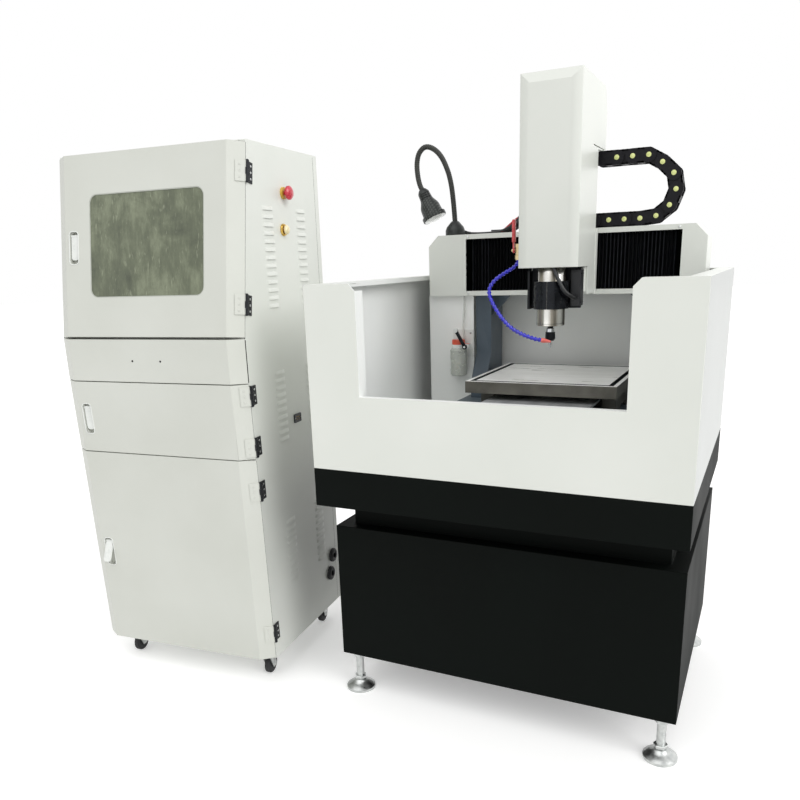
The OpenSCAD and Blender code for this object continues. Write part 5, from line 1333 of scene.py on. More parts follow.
# %% Coolant hose and nozzle
VALVE = (-58, 470, 1296)
HOSE_PATH = [(0, 0, -0.9), (-1, 0, -10), (-14, -2, -24), (-38, -6, -38), (-66, -14, -58), (-80, -22, -82),
             (-74, -30, -108), (-52, -40, -142), (-26, -48, -172), (4, -54, -196), (38, -58, -212),
             (70, -60, -222), (94, -60, -226)]
at_valve = MACHINE @ placed(VALVE)
path = smooth_path(HOSE_PATH, 5)
grow(HOSE, path_carrier(at_valve, path[1:]), {"Diameter": 0.0138}, BLUE_ACETAL, "coolant_hose_joints", "head",
     ["coolant_hose"])
end_way = (path[-1] - path[-2]).normalized()
along_end = placed(path[-1]) @ end_way.to_track_quat("Z", "Y").to_matrix().to_4x4()
nozzle = bmesh.new()
turned(nozzle, [(0, -4), (7, -4), (7, 3), (6.2, 4), (3.2, 21), (3.2, 23), (1.8, 23), (1.8, 12), (0, 12)],
       along_end, 20)
built(nozzle, "coolant_nozzle", at_valve, NOZZLE_RED, "head")
print("hose length:", round(sum((b - a).length for a, b in zip(path, path[1:]))), "mm")

# %% [markdown]
# ## The coolant valve
# A small brass ball valve, whose body and lever the CAD gives. Added to it are the hexagon nuts at its
# two ends, the gland nut of its stem, and the thick red vinyl that its lever's grip is dipped in.

# %% Valve fittings
fittings = bmesh.new()
turned(fittings, [(0, -3), (8.6, -3), (8.6, 5), (7.4, 6), (0, 6)], steps=6)
turned(fittings, [(0, 34), (7.8, 34), (7.8, 41.8), (0, 41.8)], steps=6)
turned(fittings, [(0, 0), (4, 0), (4.6, 1.5), (4.6, 3.4), (0, 3.4)], placed((-16, 0, 24), -90, "Y"), 6)
built(fittings, "valve_fittings", at_valve, VALVE_BRASS, "head", edge=0.3)
boxes("lever_grip", at_valve @ placed((0, 0, 24)), RED_VINYL, "valve_lever",
      [((-18, -9), (-8.5, 8.5), (22, 86))], 3.6)
print("valve at", VALVE)

# %% [markdown]
# ## The lamp
# A work lamp on a rubber-sheathed gooseneck. The sheath has shallow rings 6 mm apart, so a tree sets the
# radius of a resampled curve by the sine of its length. The same tree later makes a conduit and threads.

# %% A tree for a ringed sheath
SHEATH, given = new_tree("ringed_sheath", {
    "Step": 0.001, "Pitch": 0.006, "Diameter": 0.017, "Groove": 0.0005})
dense = add(SHEATH, "GeometryNodeResampleCurve", {
    "Curve": given["Geometry"], "Length": given["Step"]}, mode="LENGTH")
spline = add(SHEATH, "GeometryNodeSplineParameter")
turns = add(SHEATH, "ShaderNodeMath", {0: spline.outputs["Length"], 1: given["Pitch"]}, operation="DIVIDE")
turns = add(SHEATH, "ShaderNodeMath", {0: turns, 1: 2 * math.pi}, operation="MULTIPLY")
ripple = add(SHEATH, "ShaderNodeMath", {0: turns}, operation="SINE")
ripple = add(SHEATH, "ShaderNodeMath", {0: ripple, 1: 1.0}, operation="SUBTRACT")
half_groove = add(SHEATH, "ShaderNodeMath", {0: given["Groove"], 1: 0.5}, operation="MULTIPLY")
radius = add(SHEATH, "ShaderNodeMath", {0: given["Diameter"], 1: 0.5}, operation="MULTIPLY")
radius = add(SHEATH, "ShaderNodeMath", {0: ripple, 1: half_groove, 2: radius}, operation="MULTIPLY_ADD")
ring = add(SHEATH, "GeometryNodeCurvePrimitiveCircle", {"Resolution": 14, "Radius": 1.0})
swept = add(SHEATH, "GeometryNodeCurveToMesh", {
    "Curve": dense, "Profile Curve": ring, "Scale": radius, "Fill Caps": True})
end_tree(SHEATH, given, swept)
print("sheath tree:", len(SHEATH.nodes), "nodes")

# %% [markdown]
# ## Lamp base and neck
# The base is a turned magnet housing, and the neck a steel coil in a sheath that holds any bend.

# %% Lamp base and neck
LAMP_AT = MACHINE @ placed((-352, 720, 1378))
NECK_PATH = [(0, 0, 38), (-3, 0, 78), (-7, 0, 120), (-12, -2, 160), (-22, -4, 200), (-42, -6, 243),
             (-68, -8, 270), (-97, -10, 279), (-119, -12, 262), (-127, -14, 230), (-124, -16, 192),
             (-117, -17, 164), (-108, -18, 146)]
lathed("lamp_base", LAMP_AT, LAMP_BLACK, "frame",
       [(0, 0.1), (31, 0.1), (32, 1.2), (32, 15), (31, 18), (28, 26), (21, 34), (14, 42), (11, 44.5),
        (0, 44.5)], 40, ["lamp_stand"])
neck = grow(SHEATH, path_carrier(LAMP_AT, smooth_path(NECK_PATH)), {"Diameter": 0.0172}, NECK_BLACK,
            "lamp_neck", "frame", turn=1.0)
print("neck:", len(neck.data.polygons), "faces")

# %% [markdown]
# ## Knurled enamel
# The shade has a diamond pattern pressed in for grip. Two crossed waves, 7 mm apart, multiply to
# diamonds; they drive bump and colour, because the pressing is too shallow to need a mesh.

# %% Knurled shade finish
KNURL = 7
SHADE_BLACK, tree = new_material("knurled_black_enamel")
place = add(tree, "ShaderNodeTexCoord").outputs["Object"]
waves = []
for turn in (35, -35):
    lines = add(tree, "ShaderNodeMapping", {
        "Vector": place, "Rotation": (0, math.radians(turn), 0)})
    wave = add(tree, "ShaderNodeTexWave", {"Vector": lines, "Scale": 1 / (2 * math.pi * KNURL * MM) * 1.6})
    waves.append(wave.outputs["Fac"])
knurl = add(tree, "ShaderNodeMath", {0: waves[0], 1: waves[1]}, operation="MULTIPLY")
bump = add(tree, "ShaderNodeBump", {"Height": knurl, "Strength": 0.7, "Distance": 0.6 * MM})
tones = add(tree, "ShaderNodeMix", {0: knurl, 6: linear("#232625"), 7: linear("#4a4e4a")}, data_type="RGBA")
shader = add(tree, "ShaderNodeBsdfPrincipled", {
    "Base Color": tones.outputs[2], "Normal": bump, "Roughness": 0.42, "Metallic": 0.3})
add(tree, "ShaderNodeOutputMaterial", {"Surface": shader})
print("knurl:", KNURL, "mm apart,", len(tree.nodes), "nodes")

# %% [markdown]
# ## Shade and lens
# A ribbed collar, a bell whose rim holds the glass, and a frosted lens are all turned about one axis,
# which leans 26 degrees from straight down.

# %% Lamp shade and lens
shade_place = placed(NECK_PATH[-1], 180 - 26, "Y")
collar = bmesh.new()
turned(collar, [(0, -3), (11, -3), (13, -1), (14, 0.7), (17, 5), (19, 9), (19.5, 14), (18.5, 15), (19.5, 16),
                (20, 21), (19, 22), (20, 23), (20.5, 28), (19.5, 29), (21, 30.5), (21.5, 34), (0, 34)],
       shade_place, 36)
built(collar, "lamp_collar", LAMP_AT, LAMP_BLACK, "frame")
bell = bmesh.new()
turned(bell, [(0, 33), (21, 33), (23, 38), (26, 44), (30, 52), (32.5, 60), (34, 82), (36, 86), (39.5, 87.5),
              (40, 89), (40, 99), (39, 100), (36.5, 100), (35.5, 98), (0, 98)], shade_place, 48)
built(bell, "lamp_bell", LAMP_AT, SHADE_BLACK, "frame", ["lamp_shade"])
lens = bmesh.new()
turned(lens, [(0, 97.5), (35.5, 97.5), (35.8, 100), (26, 103.6), (13, 105.6), (0, 106.2)], shade_place, 40)
built(lens, "lamp_lens", LAMP_AT, WHITE_LENS, "frame")

# %% [markdown]
# ## Cable boot
# A tapered rubber boot keeps the cable from bending sharply where it leaves the base.

# %% Boot where the cable leaves the lamp's base
boot = bmesh.new()
bent(boot, [(18, 9, 12), (27, 14, 9), (36, 19, 6.4), (46, 21, 5.4)], [7, 6.4, 5.2, 4.2])
built(boot, "lamp_boot", LAMP_AT, RUBBER, "frame")
print("boot tapers from 7 to 4.2 mm")

# %% [markdown]
# # The control cabinet's details
# ## Louvres
# Each ventilation slot is lanced and pressed out of the sheet, so that a small hood stands over it and
# sheds drips. The tree bulges a little grid into a hood: flat across its length but for the ends, and
# standing further out the lower it gets, so it is closed at its top and its ends and open below.

# %% A tree for louvre hoods: the hood
HOODS, given = new_tree("louvre_hoods", {"Length": 0.062, "Drop": 0.011, "Proud": 0.004, "Sheet": 0.0012})
sheet_grid = add(HOODS, "GeometryNodeMeshGrid", {
    "Size X": given["Length"], "Size Y": given["Drop"], "Vertices X": 13, "Vertices Y": 5})
at = add(HOODS, "GeometryNodeInputPosition")
parts = add(HOODS, "ShaderNodeSeparateXYZ", {0: at})
half_length = add(HOODS, "ShaderNodeMath", {0: given["Length"], 1: 0.5}, operation="MULTIPLY")
across = add(HOODS, "ShaderNodeMath", {0: parts.outputs["X"], 1: half_length}, operation="DIVIDE")
across = add(HOODS, "ShaderNodeMath", {0: across}, operation="ABSOLUTE")
across = add(HOODS, "ShaderNodeMath", {0: across, 1: 5.0}, operation="POWER")
across = add(HOODS, "ShaderNodeMath", {0: 1.0, 1: across}, operation="SUBTRACT")
down = add(HOODS, "ShaderNodeMath", {0: parts.outputs["Y"], 1: given["Drop"]}, operation="DIVIDE")
down = add(HOODS, "ShaderNodeMath", {0: 0.5, 1: down}, operation="SUBTRACT")
down = add(HOODS, "ShaderNodeMath", {0: down, 1: 0.6}, operation="POWER")
height = add(HOODS, "ShaderNodeMath", {0: across, 1: down}, operation="MULTIPLY")
height = add(HOODS, "ShaderNodeMath", {0: height, 1: given["Proud"]}, operation="MULTIPLY")
lift = add(HOODS, "ShaderNodeCombineXYZ", {2: height})
pressed = add(HOODS, "GeometryNodeSetPosition", {"Geometry": sheet_grid, "Offset": lift})
print("hood tree:", len(HOODS.nodes), "nodes so far")

# %% [markdown]
# The sheet's thickness lies on the inside. An instance goes over every slot: the hood's own z faces
# outwards, and its y stays upright.

# %% A tree for louvre hoods: sheet and places
inwards = add(HOODS, "ShaderNodeMath", {0: given["Sheet"], 1: -1.0}, operation="MULTIPLY")
in_way = add(HOODS, "ShaderNodeCombineXYZ", {2: inwards})
sheet = thickened(HOODS, pressed, in_way)
end_on_points(HOODS, given, sheet, ("Z", None, "AUTO"), ("Y", (0.0, 0.0, 1.0), "Z"))
print("hood tree:", len(HOODS.nodes), "nodes")

# %% [markdown]
# Rows of hoods stand in pairs at three levels on both sides, one instance for each point.

# %% Louvres
HALF = CAB_W / 2
LOUVRE_PITCH = 23
# Depth of a column of louvres, its lowest one, and their number
LOUVRES = [(186, 1185, 13), (390, 1185, 13), (186, 778, 10), (390, 778, 10), (186, 300, 10), (390, 300, 10)]
spots = [((side * HALF, y, low + i * LOUVRE_PITCH + 1.5), (side, 0, 0))
         for y, low, number in LOUVRES for i in range(number) for side in (-1, 1)]
hoods = grow(HOODS, point_cloud(CABINET, spots), {}, WHITE_COAT, "louvre_hoods", "frame")
print("louvres:", len(spots), "with", len(hoods.data.polygons), "faces")

# %% [markdown]
# ## Hinges
# Each door hangs on two hinges with a pin. The door's leaves are painted with it, screws and all. The
# shell's plates are black, with bright countersunk screws.

# %% Hinge screws and pins
# Screws stand this far up and down from a hinge's middle, and this far in and out on its leaf
SCREW_STEPS = (-17, 0, 17)
LEAF_IN, LEAF_OUT = 16, 3.2
cos, sin = math.cos(BEVEL_TURN), math.sin(BEVEL_TURN)
for i, door, heights in HINGES:
    levels = [z + step for z in heights for step in SCREW_STEPS]
    on_plate = [((HALF + 3, HINGE_DEPTH + 22, z), (1, 0, 0)) for z in levels]
    screws(f"hinge_screws_{i}", cabinet_face(i), on_plate, "frame", SCREW_ZINC, 6.4, 0.8, 0.35)
    on_leaf = [((HALF - LEAF_IN * cos + LEAF_OUT * sin, HINGE_DEPTH - LEAF_IN * sin - LEAF_OUT * cos, z),
                (sin, -cos, 0)) for z in levels]
    screws(f"leaf_screws_{i}", cabinet_face(i), on_leaf, door, CREAM_COAT_PAINTED_SHADE, 6.4, 0.8, 0.35)
    caps = bmesh.new()
    for z in heights:
        for end, way in ((28, 0), (-28, 180)):
            turned(caps, [(0, -0.4), (4.2, -0.4), (4.2, 1.2), (2.4, 2.6), (0, 3)],
                   placed((HALF + 6, HINGE_DEPTH, z + end), way), 14)
    built(caps, f"hinge_caps_{i}", cabinet_face(i), BLACKENED, "frame")
print("hinges:", sum(len(h[2]) for h in HINGES))

# %% [markdown]
# ## Slots and rings
# Latches, the window, the port and the screen all have a flat rim with rounded corners. One helper draws
# the rounded outline, and another fills the ring between two of them.

# %% Outlines and rings


def slot_outline(width, length, radius, steps=6):
    """A rounded slot, as x and z pairs."""
    points = []
    for x, z, start in ((1, 1, 0), (-1, 1, 90), (-1, -1, 180), (1, -1, 270)):
        for k in range(steps + 1):
            a = math.radians(start + 90 * k / steps)
            points.append((x * (width / 2 - radius) + radius * math.cos(a),
                           z * (length / 2 - radius) + radius * math.sin(a)))
    return points


def frame_ring(shape, outer, inner, front, back, place=Matrix()):
    """A flat ring between two outlines with as many points, from y front to y back."""
    loops = [[shape.verts.new(place @ Vector((x, y, z))) for x, z in line]
             for line, y in ((outer, back), (outer, front), (inner, front), (inner, back))]
    for one, two in zip(loops, loops[1:] + loops[:1]):
        for k in range(len(one)):
            n = (k + 1) % len(one)
            shape.faces.new([one[k], one[n], two[n], two[k]])


print("points of an outline:", len(slot_outline(37, 99, 13)))

# %% [markdown]
# ## Latches
# A white nylon cup is let into each door, with a lever in it that is pulled out to open. Its rim stands
# a millimetre proud of the sheet.

# %% Latch rims
LATCH_X = -250
LATCHES = [(3, "upper_door", UPPER / 2), (1, "middle_door", MIDDLE / 2 - 6),
           (0, "lower_door", LOWER / 2 - 12)]
for i, door, z in LATCHES:
    rim = bmesh.new()
    frame_ring(rim, slot_outline(37, 99, 13), slot_outline(31.6, 93.6, 10), -1.2, 0.3,
               placed((LATCH_X, 0, z)))
    built(rim, f"latch_rim_{i}", cabinet_face(i), LATCH_WHITE, door, edge=0.4)
print("latches:", len(LATCHES))

# %% [markdown]
# ## Window gasket
# The pane sits behind the door's sheet. A thin pale rubber edging runs round the cut-out.

# %% Gasket
PANE_W, PANE_H = 400, 298
gasket = bmesh.new()
frame_ring(gasket, slot_outline(PANE_W - 0.4, PANE_H - 0.4, 25.8, 8),
           slot_outline(PANE_W - 5, PANE_H - 5, 23.5, 8), 0.4, 2.6, placed((10, 0, UPPER / 2 + 2)))
built(gasket, "window_gasket", cabinet_face(3), PALE_RUBBER, "upper_door")
print("window:", PANE_W, "x", PANE_H, "mm")

# %% [markdown]
# ## Buttons
# The emergency stop is a red mushroom on a yellow ring, and the power button is a cream cap in a brass
# ring. The CAD gives both buttons, and the rings are turned round them.

# %% Rings of the buttons
SIDE = CABINET @ placed((HALF, 0, 0), 90, "Y")


def on_side(y, z):
    """A frame on the cabinet's right side, with its z outwards, at a depth and a height."""
    return SIDE @ placed((-z, y, 0))


lathed("stop_ring", on_side(285, 1509), YELLOW_RING, "frame",
       [(12.5, 6.1), (17, 6.1), (17.4, 5.6), (17.4, 0.2), (15.2, 0.2)])
lathed("power_ring", on_side(272, 1404), BRASS, "frame",
       [(14.2, 0.2), (17.5, 0.2), (18, 1), (17, 4.5), (16, 6.8), (14.6, 6.8)])
print("ring of the stop button:", 2 * 17.4, "mm")

# %% [markdown]
# ## Port and grommets
# The data port has a frame, two rows of contacts and two screws. Rubber grommets line the two outlets
# that cables leave the cabinet through.

# %% Port and grommets
PORT_Y, PORT_Z = 276.5, 827
port = bmesh.new()
frame_ring(port, slot_outline(43, 28, 3, 3), slot_outline(33, 15, 1.5, 3), -5, 0.2)
built(port, "port_frame", CABINET @ placed((HALF, PORT_Y, PORT_Z), 90, "Z"),
      BLACK_ABS, "frame", edge=0.4)
pins_at = [((HALF + 4.1, PORT_Y + y, PORT_Z + z), (1, 0, 0)) for y in range(-12, 13, 4) for z in (-3.5, 3.5)]
screws("port_contacts", CABINET, pins_at, "frame", BRASS, 1.8, 0.5, 0.3)
screws("port_screws", CABINET, [((HALF + 4.8, PORT_Y + y, PORT_Z), (1, 0, 0)) for y in (-18.8, 18.8)],
       "frame", SCREW_ZINC, 4, 0.8)
for y, z, name in ((471, 278, "upper"), (446, 217, "lower")):
    lathed(f"grommet_{name}", on_side(y, z), RUBBER, "frame",
           [(10, 2), (10, 9), (12, 10.5), (16, 11), (22, 9.5), (24.5, 7), (25, 3), (25, 0.2), (20, 0.2)])
print("port contacts:", len(pins_at))

# %% [markdown]
# ## Seams and folds of the shell
# The side sheets are folded in at the back, and a thin dark line shows where each meets the back panel.
# The drawer's front has two small screws for its handle.

# %% Seams
boxes("rear_seams", CABINET, SEAM, "frame",
      [((side - 0.15, side + 0.15), (497, 498), (100, 1630)) for side in (-HALF, HALF)])
screws("drawer_screws", cabinet_face(2), [((x, 0.4, face_length(2) / 2), FRONT) for x in (-50, 50)],
       "keyboard_drawer", SCREW_BLACK, 6.2, 0.9)
print("seams:", 1630 - 100, "mm long")

# %% [markdown]
# ## Door gaps
# A soft black strip lies on the shell's front edge in the 2 mm between it and each door; it is painted
# shade in these gaps, so the joints of the cabinet show as thin dark lines.

# %% Painted shade in the door gaps
# Black strips paint the shade in the door gaps
for i in range(4):
    # The drawer's front is a little deeper than the doors, and so are the strips beside it
    out, back = (0.05, 31.4) if i == 2 else (-0.2, 30)
    boxes(f"door_seal_{i}", cabinet_face(i), RUBBER, "frame",
          [((s * (HALF + out - 2), s * (HALF + out)), (28.2, back), (4, face_length(i) - 4))
           for s in (-1, 1)])
print("seals:", sum("door_seal" in piece.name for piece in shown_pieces()), "with two strips each")

# %% [markdown]
# # Details of the machine
# ## Ribs and notches
# The oiler's filler cap is ribbed for the hand, and the collet nut is notched for a hook spanner. Both
# are a body with square teeth round it.

# %% Toothed bodies


def toothed(shape, teeth, tip, root, low, high, place=Matrix()):
    """A closed body with `teeth` square ribs round it."""
    turns = []
    for k in range(teeth):
        start = 2 * math.pi * k / teeth
        turns += [(tip, start + f * 2 * math.pi / teeth) for f in (0.05, 0.45)]
        turns += [(root, start + f * 2 * math.pi / teeth) for f in (0.55, 0.95)]
    outline = [(radius * math.cos(a), radius * math.sin(a)) for radius, a in turns]
    rings = [[shape.verts.new(place @ Vector((x, y, z))) for x, y in outline] for z in (low, high)]
    shape.faces.new(rings[0])
    shape.faces.new(rings[1])
    for k in range(len(outline)):
        n = (k + 1) % len(outline)
        shape.faces.new([rings[0][k], rings[0][n], rings[1][n], rings[1][k]])


print("a tooth fills", round((0.45 - 0.05) * 100), "percent of its pitch at the tip")

# %% [markdown]
# ## The oiler
# A hand pump sends slideway oil to the ways. Its cup is thin, milky plastic, so it is built as a wall
# with real thickness, and the oil in it is a body of its own that shows through the wall.

# %% Oil cup, oil and cap
OILER = MACHINE @ placed((-324, 668, 922))
lathed("oil_cup", OILER, MILKY, "frame",
       [(0, 0.1), (25.4, 0.1), (27.8, 3), (27.8, 12), (27.2, 12.8), (27.8, 13.6), (27.8, 78), (27.2, 78.8),
        (27.8, 79.6), (27.8, 85), (22, 91.6), (19, 91.8), (19, 90.4), (21.2, 90), (26.3, 84.4), (26.3, 3.8),
        (24.8, 1.8), (0, 1.8)], stands_for=["oil_reservoir"])
lathed("oil_in_the_cup", OILER, OIL, "frame", [(0, 2.2), (24.4, 2.2), (25.9, 4.2), (25.9, 50), (0, 50)])
ribs = bmesh.new()
toothed(ribs, 26, 21.7, 20.6, 106, 117)
built(ribs, "oil_cap_ribs", OILER, CAP_RED, "frame")
screws("oiler_screws", OILER, [((x, 28.8, 140), FRONT) for x in (-22, 34)], "frame", SCREW_ZINC, 7, 2.5)
print("oil stands", round(50 - 2.2, 1), "mm high in the cup")

# %% [markdown]
# ## The spindle's nose
# The collet nut is blackened, and under it shows the cone that it draws up. Over it the ground shaft has
# six flats for a spanner, and a dark seam goes round the jacket where its end plate meets it.

# %% Collet nut
NUT_TEETH = 8
SPINDLE = MACHINE @ placed((40, 474, 0))
nut = bmesh.new()
toothed(nut, NUT_TEETH, 14.4, 12.9, 1068.5, 1081)
turned(nut, [(0, 1062.9), (10.2, 1062.9), (14.2, 1068.5), (14.2, 1070), (0, 1070)], steps=28)
built(nut, "collet_nut", SPINDLE, BLACKENED, "spindle_shaft")
lathed("spindle_nose_flats", SPINDLE, GROUND, "spindle_shaft",
       [(0, 1088.2), (11.5, 1088.2), (11.5, 1097), (9.6, 1099), (0, 1099)], 6, edge=0.4)
lathed("jacket_seams", SPINDLE, DARK_IRON, "spindle_slide",
       [(39.2, 1113), (40.15, 1113), (40.15, 1113.9), (39.2, 1113.9), (39.2, 1113)], 64)
print("teeth of the nut:", NUT_TEETH)

# %% [markdown]
# ## Spindle cable
# The cable leaves the terminal box in a ribbed black conduit, bows out in front of the clamp and goes up
# under the head's cover.

# %% Conduit of the spindle cable
CABLE_PATH = [(67, -38, 26), (68, -58, 24), (62, -78, 30), (49, -94, 44), (36, -100, 68), (25, -99.5, 92),
              (17, -98, 118), (9, -98, 160), (5, -98, 192), (2, -84, 218), (0, -68, 230), (0, -55, 222)]
BOX_AT = MACHINE @ placed((40, 526, 1161))
conduit = grow(SHEATH, path_carrier(BOX_AT, smooth_path(CABLE_PATH)),
               {"Diameter": 0.0118, "Pitch": 0.0032, "Groove": 0.0007}, CABLE, "spindle_conduit",
               "spindle_slide", turn=1.0)
print("conduit:", len(conduit.data.polygons), "faces")

# %% [markdown]
# ## Terminal box lid
# A moulded lid with rounded edges is held by four small screws. The clamp has four screws of its own.

# %% Terminal box lid
boxes("terminal_lid", MACHINE, BLACK_ABS, "spindle_slide",
      [((97, 116), (484.8, 486.2), (1165, 1257)), ((119.8, 120.6), (490, 522), (1167, 1255))],
      0.5)
screws("terminal_screws", MACHINE, [((120.6, y, z), (1, 0, 0)) for y in (494, 518) for z in (1171, 1251)],
       "spindle_slide", SCREW_BLACK, 5, 0.8)
screws("clamp_screws", MACHINE,
       [((40 + s * 36, 440, z), (s * 0.73, -0.69, 0)) for s in (-1, 1) for z in (1174, 1213)],
       "spindle_slide", SCREW_BLACK, 8, 0.9)

# %% [markdown]
# ## Wires on the beam
# Two red and three black wires come out of a small entry box beside the lamp, rise over the beam's top
# and end in a junction box behind the head. They are fixed at both ends, so they are pieces of the
# frame and not free cords.

# %% Wires
RED_PATHS = [[(136, 42, 4.6), (152, 42, 9), (170, 42, 22), (196, 43, 42), (226, 45, 54), (262, 47, 56)],
             [(138, 50, 4.6), (158, 50, 7), (176, 48, 18), (202, 47, 38), (230, 47, 50), (262, 47, 54)]]
BLACK_PATHS = [[(140, 46, 6.4), (172, 50, 14), (204, 52, 38), (232, 52, 62), (262, 52, 68), (312, 52, 50),
                (366, 52, 22)],
               [(140, 44, 6.4), (168, 44, 13), (190, 44, 31), (212, 45, 52), (236, 46, 66), (262, 47, 68),
                (312, 47, 50), (366, 48, 22)],
               [(142, 53, 6.4), (176, 53, 7), (198, 52, 18), (220, 52, 38), (240, 52, 50), (262, 52, 52),
                (312, 52, 40), (366, 52, 16)]]
for name, paths, radius, material in (("red", RED_PATHS, 4.2, RED_WIRE), ("black", BLACK_PATHS, 6.0, CABLE)):
    wires = bmesh.new()
    for points in paths:
        bent(wires, smooth_path(points, 5), radius, 10)
    built(wires, f"{name}_wires", LAMP_AT, material, "frame")
print("wires:", len(RED_PATHS), "red and", len(BLACK_PATHS), "black")

# %% [markdown]
# The two boxes are moulded. The larger has a lid that stands out a little, with four screws.

# %% Boxes at the ends of the wires
boxes("wire_entry", LAMP_AT, BLACK_ABS, "frame", [((112, 146), (35, 60), (0.2, 12.6))], 1.5)
boxes("junction_box", MACHINE, BLACK_ABS, "frame",
      [((8, 50), (751, 781), (1378.3, 1404)), ((6, 52), (750, 782), (1404, 1407))], 0.8)
screws("junction_screws", MACHINE, [((x, y, 1407), (0, 0, 1)) for x in (11, 47) for y in (755, 777)],
       "frame", SCREW_ZINC, 5, 1)
print("junction box stands on the beam, at", BEAM_TOP, "mm")

# %% [markdown]
# ## Levelling feet
# Each foot is a zinc-plated stud in a wide pad. Its thread is shown as close rings, which from any
# working distance look the same as a helix and need no more than one swept curve.

# %% Threads and lock nuts
FEET = [(x, y) for x in (-455, 455) for y in (126, 823)]
for i, (x, y) in enumerate(FEET, 1):
    at = MACHINE @ placed((x, y, 0))
    grow(SHEATH, path_carrier(at, [(0, 0, 31), (0, 0, 70), (0, 0, 109.5)]),
         {"Step": 0.0006, "Diameter": 0.0246, "Pitch": 0.003, "Groove": 0.0011}, ZINC, f"foot_thread_{i}",
         "frame", turn=1.0)
    lathed(f"foot_nut_{i}", at, ZINC, "frame",
           [(12.4, 32), (18, 32), (19.4, 33.4), (19.4, 41), (18, 42.4), (12.4, 42.4), (12.4, 32)],
           6, edge=0.5)

# %% [markdown]
# # Inside the cabinet
# ## Keyboard
# The drawer holds a keyboard. Its keycaps are four-sided cones with their tips cut off, which is what a
# keycap is, and a tree sets them in offset rows.

# %% A tree for keycaps
KEYS, given = new_tree("keycaps", {"Foot": 0.017, "Top": 0.0125, "Height": 0.006})
foot_radius = add(KEYS, "ShaderNodeMath", {0: given["Foot"], 1: 0.7071}, operation="MULTIPLY")
top_radius = add(KEYS, "ShaderNodeMath", {0: given["Top"], 1: 0.7071}, operation="MULTIPLY")
cap = add(KEYS, "GeometryNodeMeshCone", {
    "Vertices": 4, "Radius Top": top_radius, "Radius Bottom": foot_radius, "Depth": given["Height"]})
squared = add(KEYS, "GeometryNodeTransform", {"Geometry": cap, "Rotation": (0.0, 0.0, math.radians(45))})
end_on_points(KEYS, given, squared, ("X", None, "Z"))
print("key tree:", len(KEYS.nodes), "nodes")

# %% [markdown]
# Each row stands a little aside from the next. Only the space bar is made by itself. The case is part of
# the drawer's node and already has its finish.

# %% Keyboard
KEY_PITCH = 19
KEYBOARD = cabinet_face(2) @ placed((0, 0, 34))
keys_at = []
for row in range(5):
    main = [-200 + row % 2 * 4 + k * KEY_PITCH for k in range(15)]
    number_pad = [140 + k * KEY_PITCH for k in range(4)]
    keys_at += [(x, 196 - row * KEY_PITCH, 3) for x in main + number_pad]
keys_at += [(x, 101, 3) for x in (-200, -181, -162, 66, 85, 140, 159, 178)]
spots = [(key, (1, 0, 0)) for key in keys_at]
grow(KEYS, point_cloud(KEYBOARD, spots), {}, KEY_BLACK, "keycaps", "keyboard_drawer")
boxes("space_bar", KEYBOARD, KEY_BLACK, "keyboard_drawer", [((-150, 54), (93, 109), (0.2, 6))],
      1.2)
print("keys:", len(spots))

# %% [markdown]
# ## Monitor
# A flat screen stands on the shelf behind the window. Its bezel is a rounded frame, the glass sits a
# little behind it, and a hinge joins it to its stand.

# %% Screen
SCREEN_Z = 1357
GLASS_W, GLASS_H = 447, 267
bezel = bmesh.new()
frame_ring(bezel, slot_outline(469, 299, 7, 4), slot_outline(446, 266, 3, 4), -3, 0.2)
built(bezel, "monitor_bezel", CABINET @ placed((0, 130, SCREEN_Z)), BLACK_ABS, "frame",
      edge=0.8)
boxes("monitor_glass", CABINET, SCREEN_GLASS, "frame",
      [((-GLASS_W / 2, GLASS_W / 2), (128.9, 130.1), (SCREEN_Z - GLASS_H / 2, SCREEN_Z + GLASS_H / 2))],
      edge=0.3)
boxes("monitor_hinge", CABINET, BLACK_ABS, "frame", [((-60, 60), (163, 185), (1300, 1380))],
      2)
print("monitor's glass:", GLASS_W, "x", GLASS_H, "mm")

# %% [markdown]
# ## Computer
# The computer stands on the floor behind the lower door. Its front has a drive tray, a round power
# button and cooling slots.

# %% Computer's front
COMPUTER = CABINET @ placed((-150, 90, 185))
boxes("computer_bezel", COMPUTER, BLACK_ABS, "frame", [((-88, 88), (-4, 0.2), (-88, 88))], edge=1.8)
boxes("computer_trays", COMPUTER, DRIVE_GREY, "frame",
      [((-76, 76), (-5.4, -3.8), (42, 80)), ((-76, 20), (-5.2, -3.8), (12, 34))], edge=0.6)
button = bmesh.new()
turned(button, [(0, 0), (9, 0), (9, 1.6), (7.6, 2.4), (7, 1.8), (0, 1.8)], placed((52, -4, 22), 90), 24)
built(button, "computer_button", COMPUTER, LABEL_GREY, "frame")
boxes("computer_slots", COMPUTER, SEAM, "frame",
      [((-70, 70), (-4.6, -3.9), (-80 + k * 8, -76.5 + k * 8)) for k in range(11)])
screws("computer_screws", CABINET, [((-60, y, z), (1, 0, 0)) for y in (100, 280, 460) for z in (103, 267)],
       "frame", SCREW_ZINC, 7, 1.6)
print("computer's front:", 2 * 88, "mm wide, with 11 slots")

# %% [markdown]
# ## Drives and wiring
# Each axis has its own drive on the back panel. A drive has a pale front cover, cooling ribs on both
# sides and a green strip of terminals that face the door. The power supply has a strip of its own.

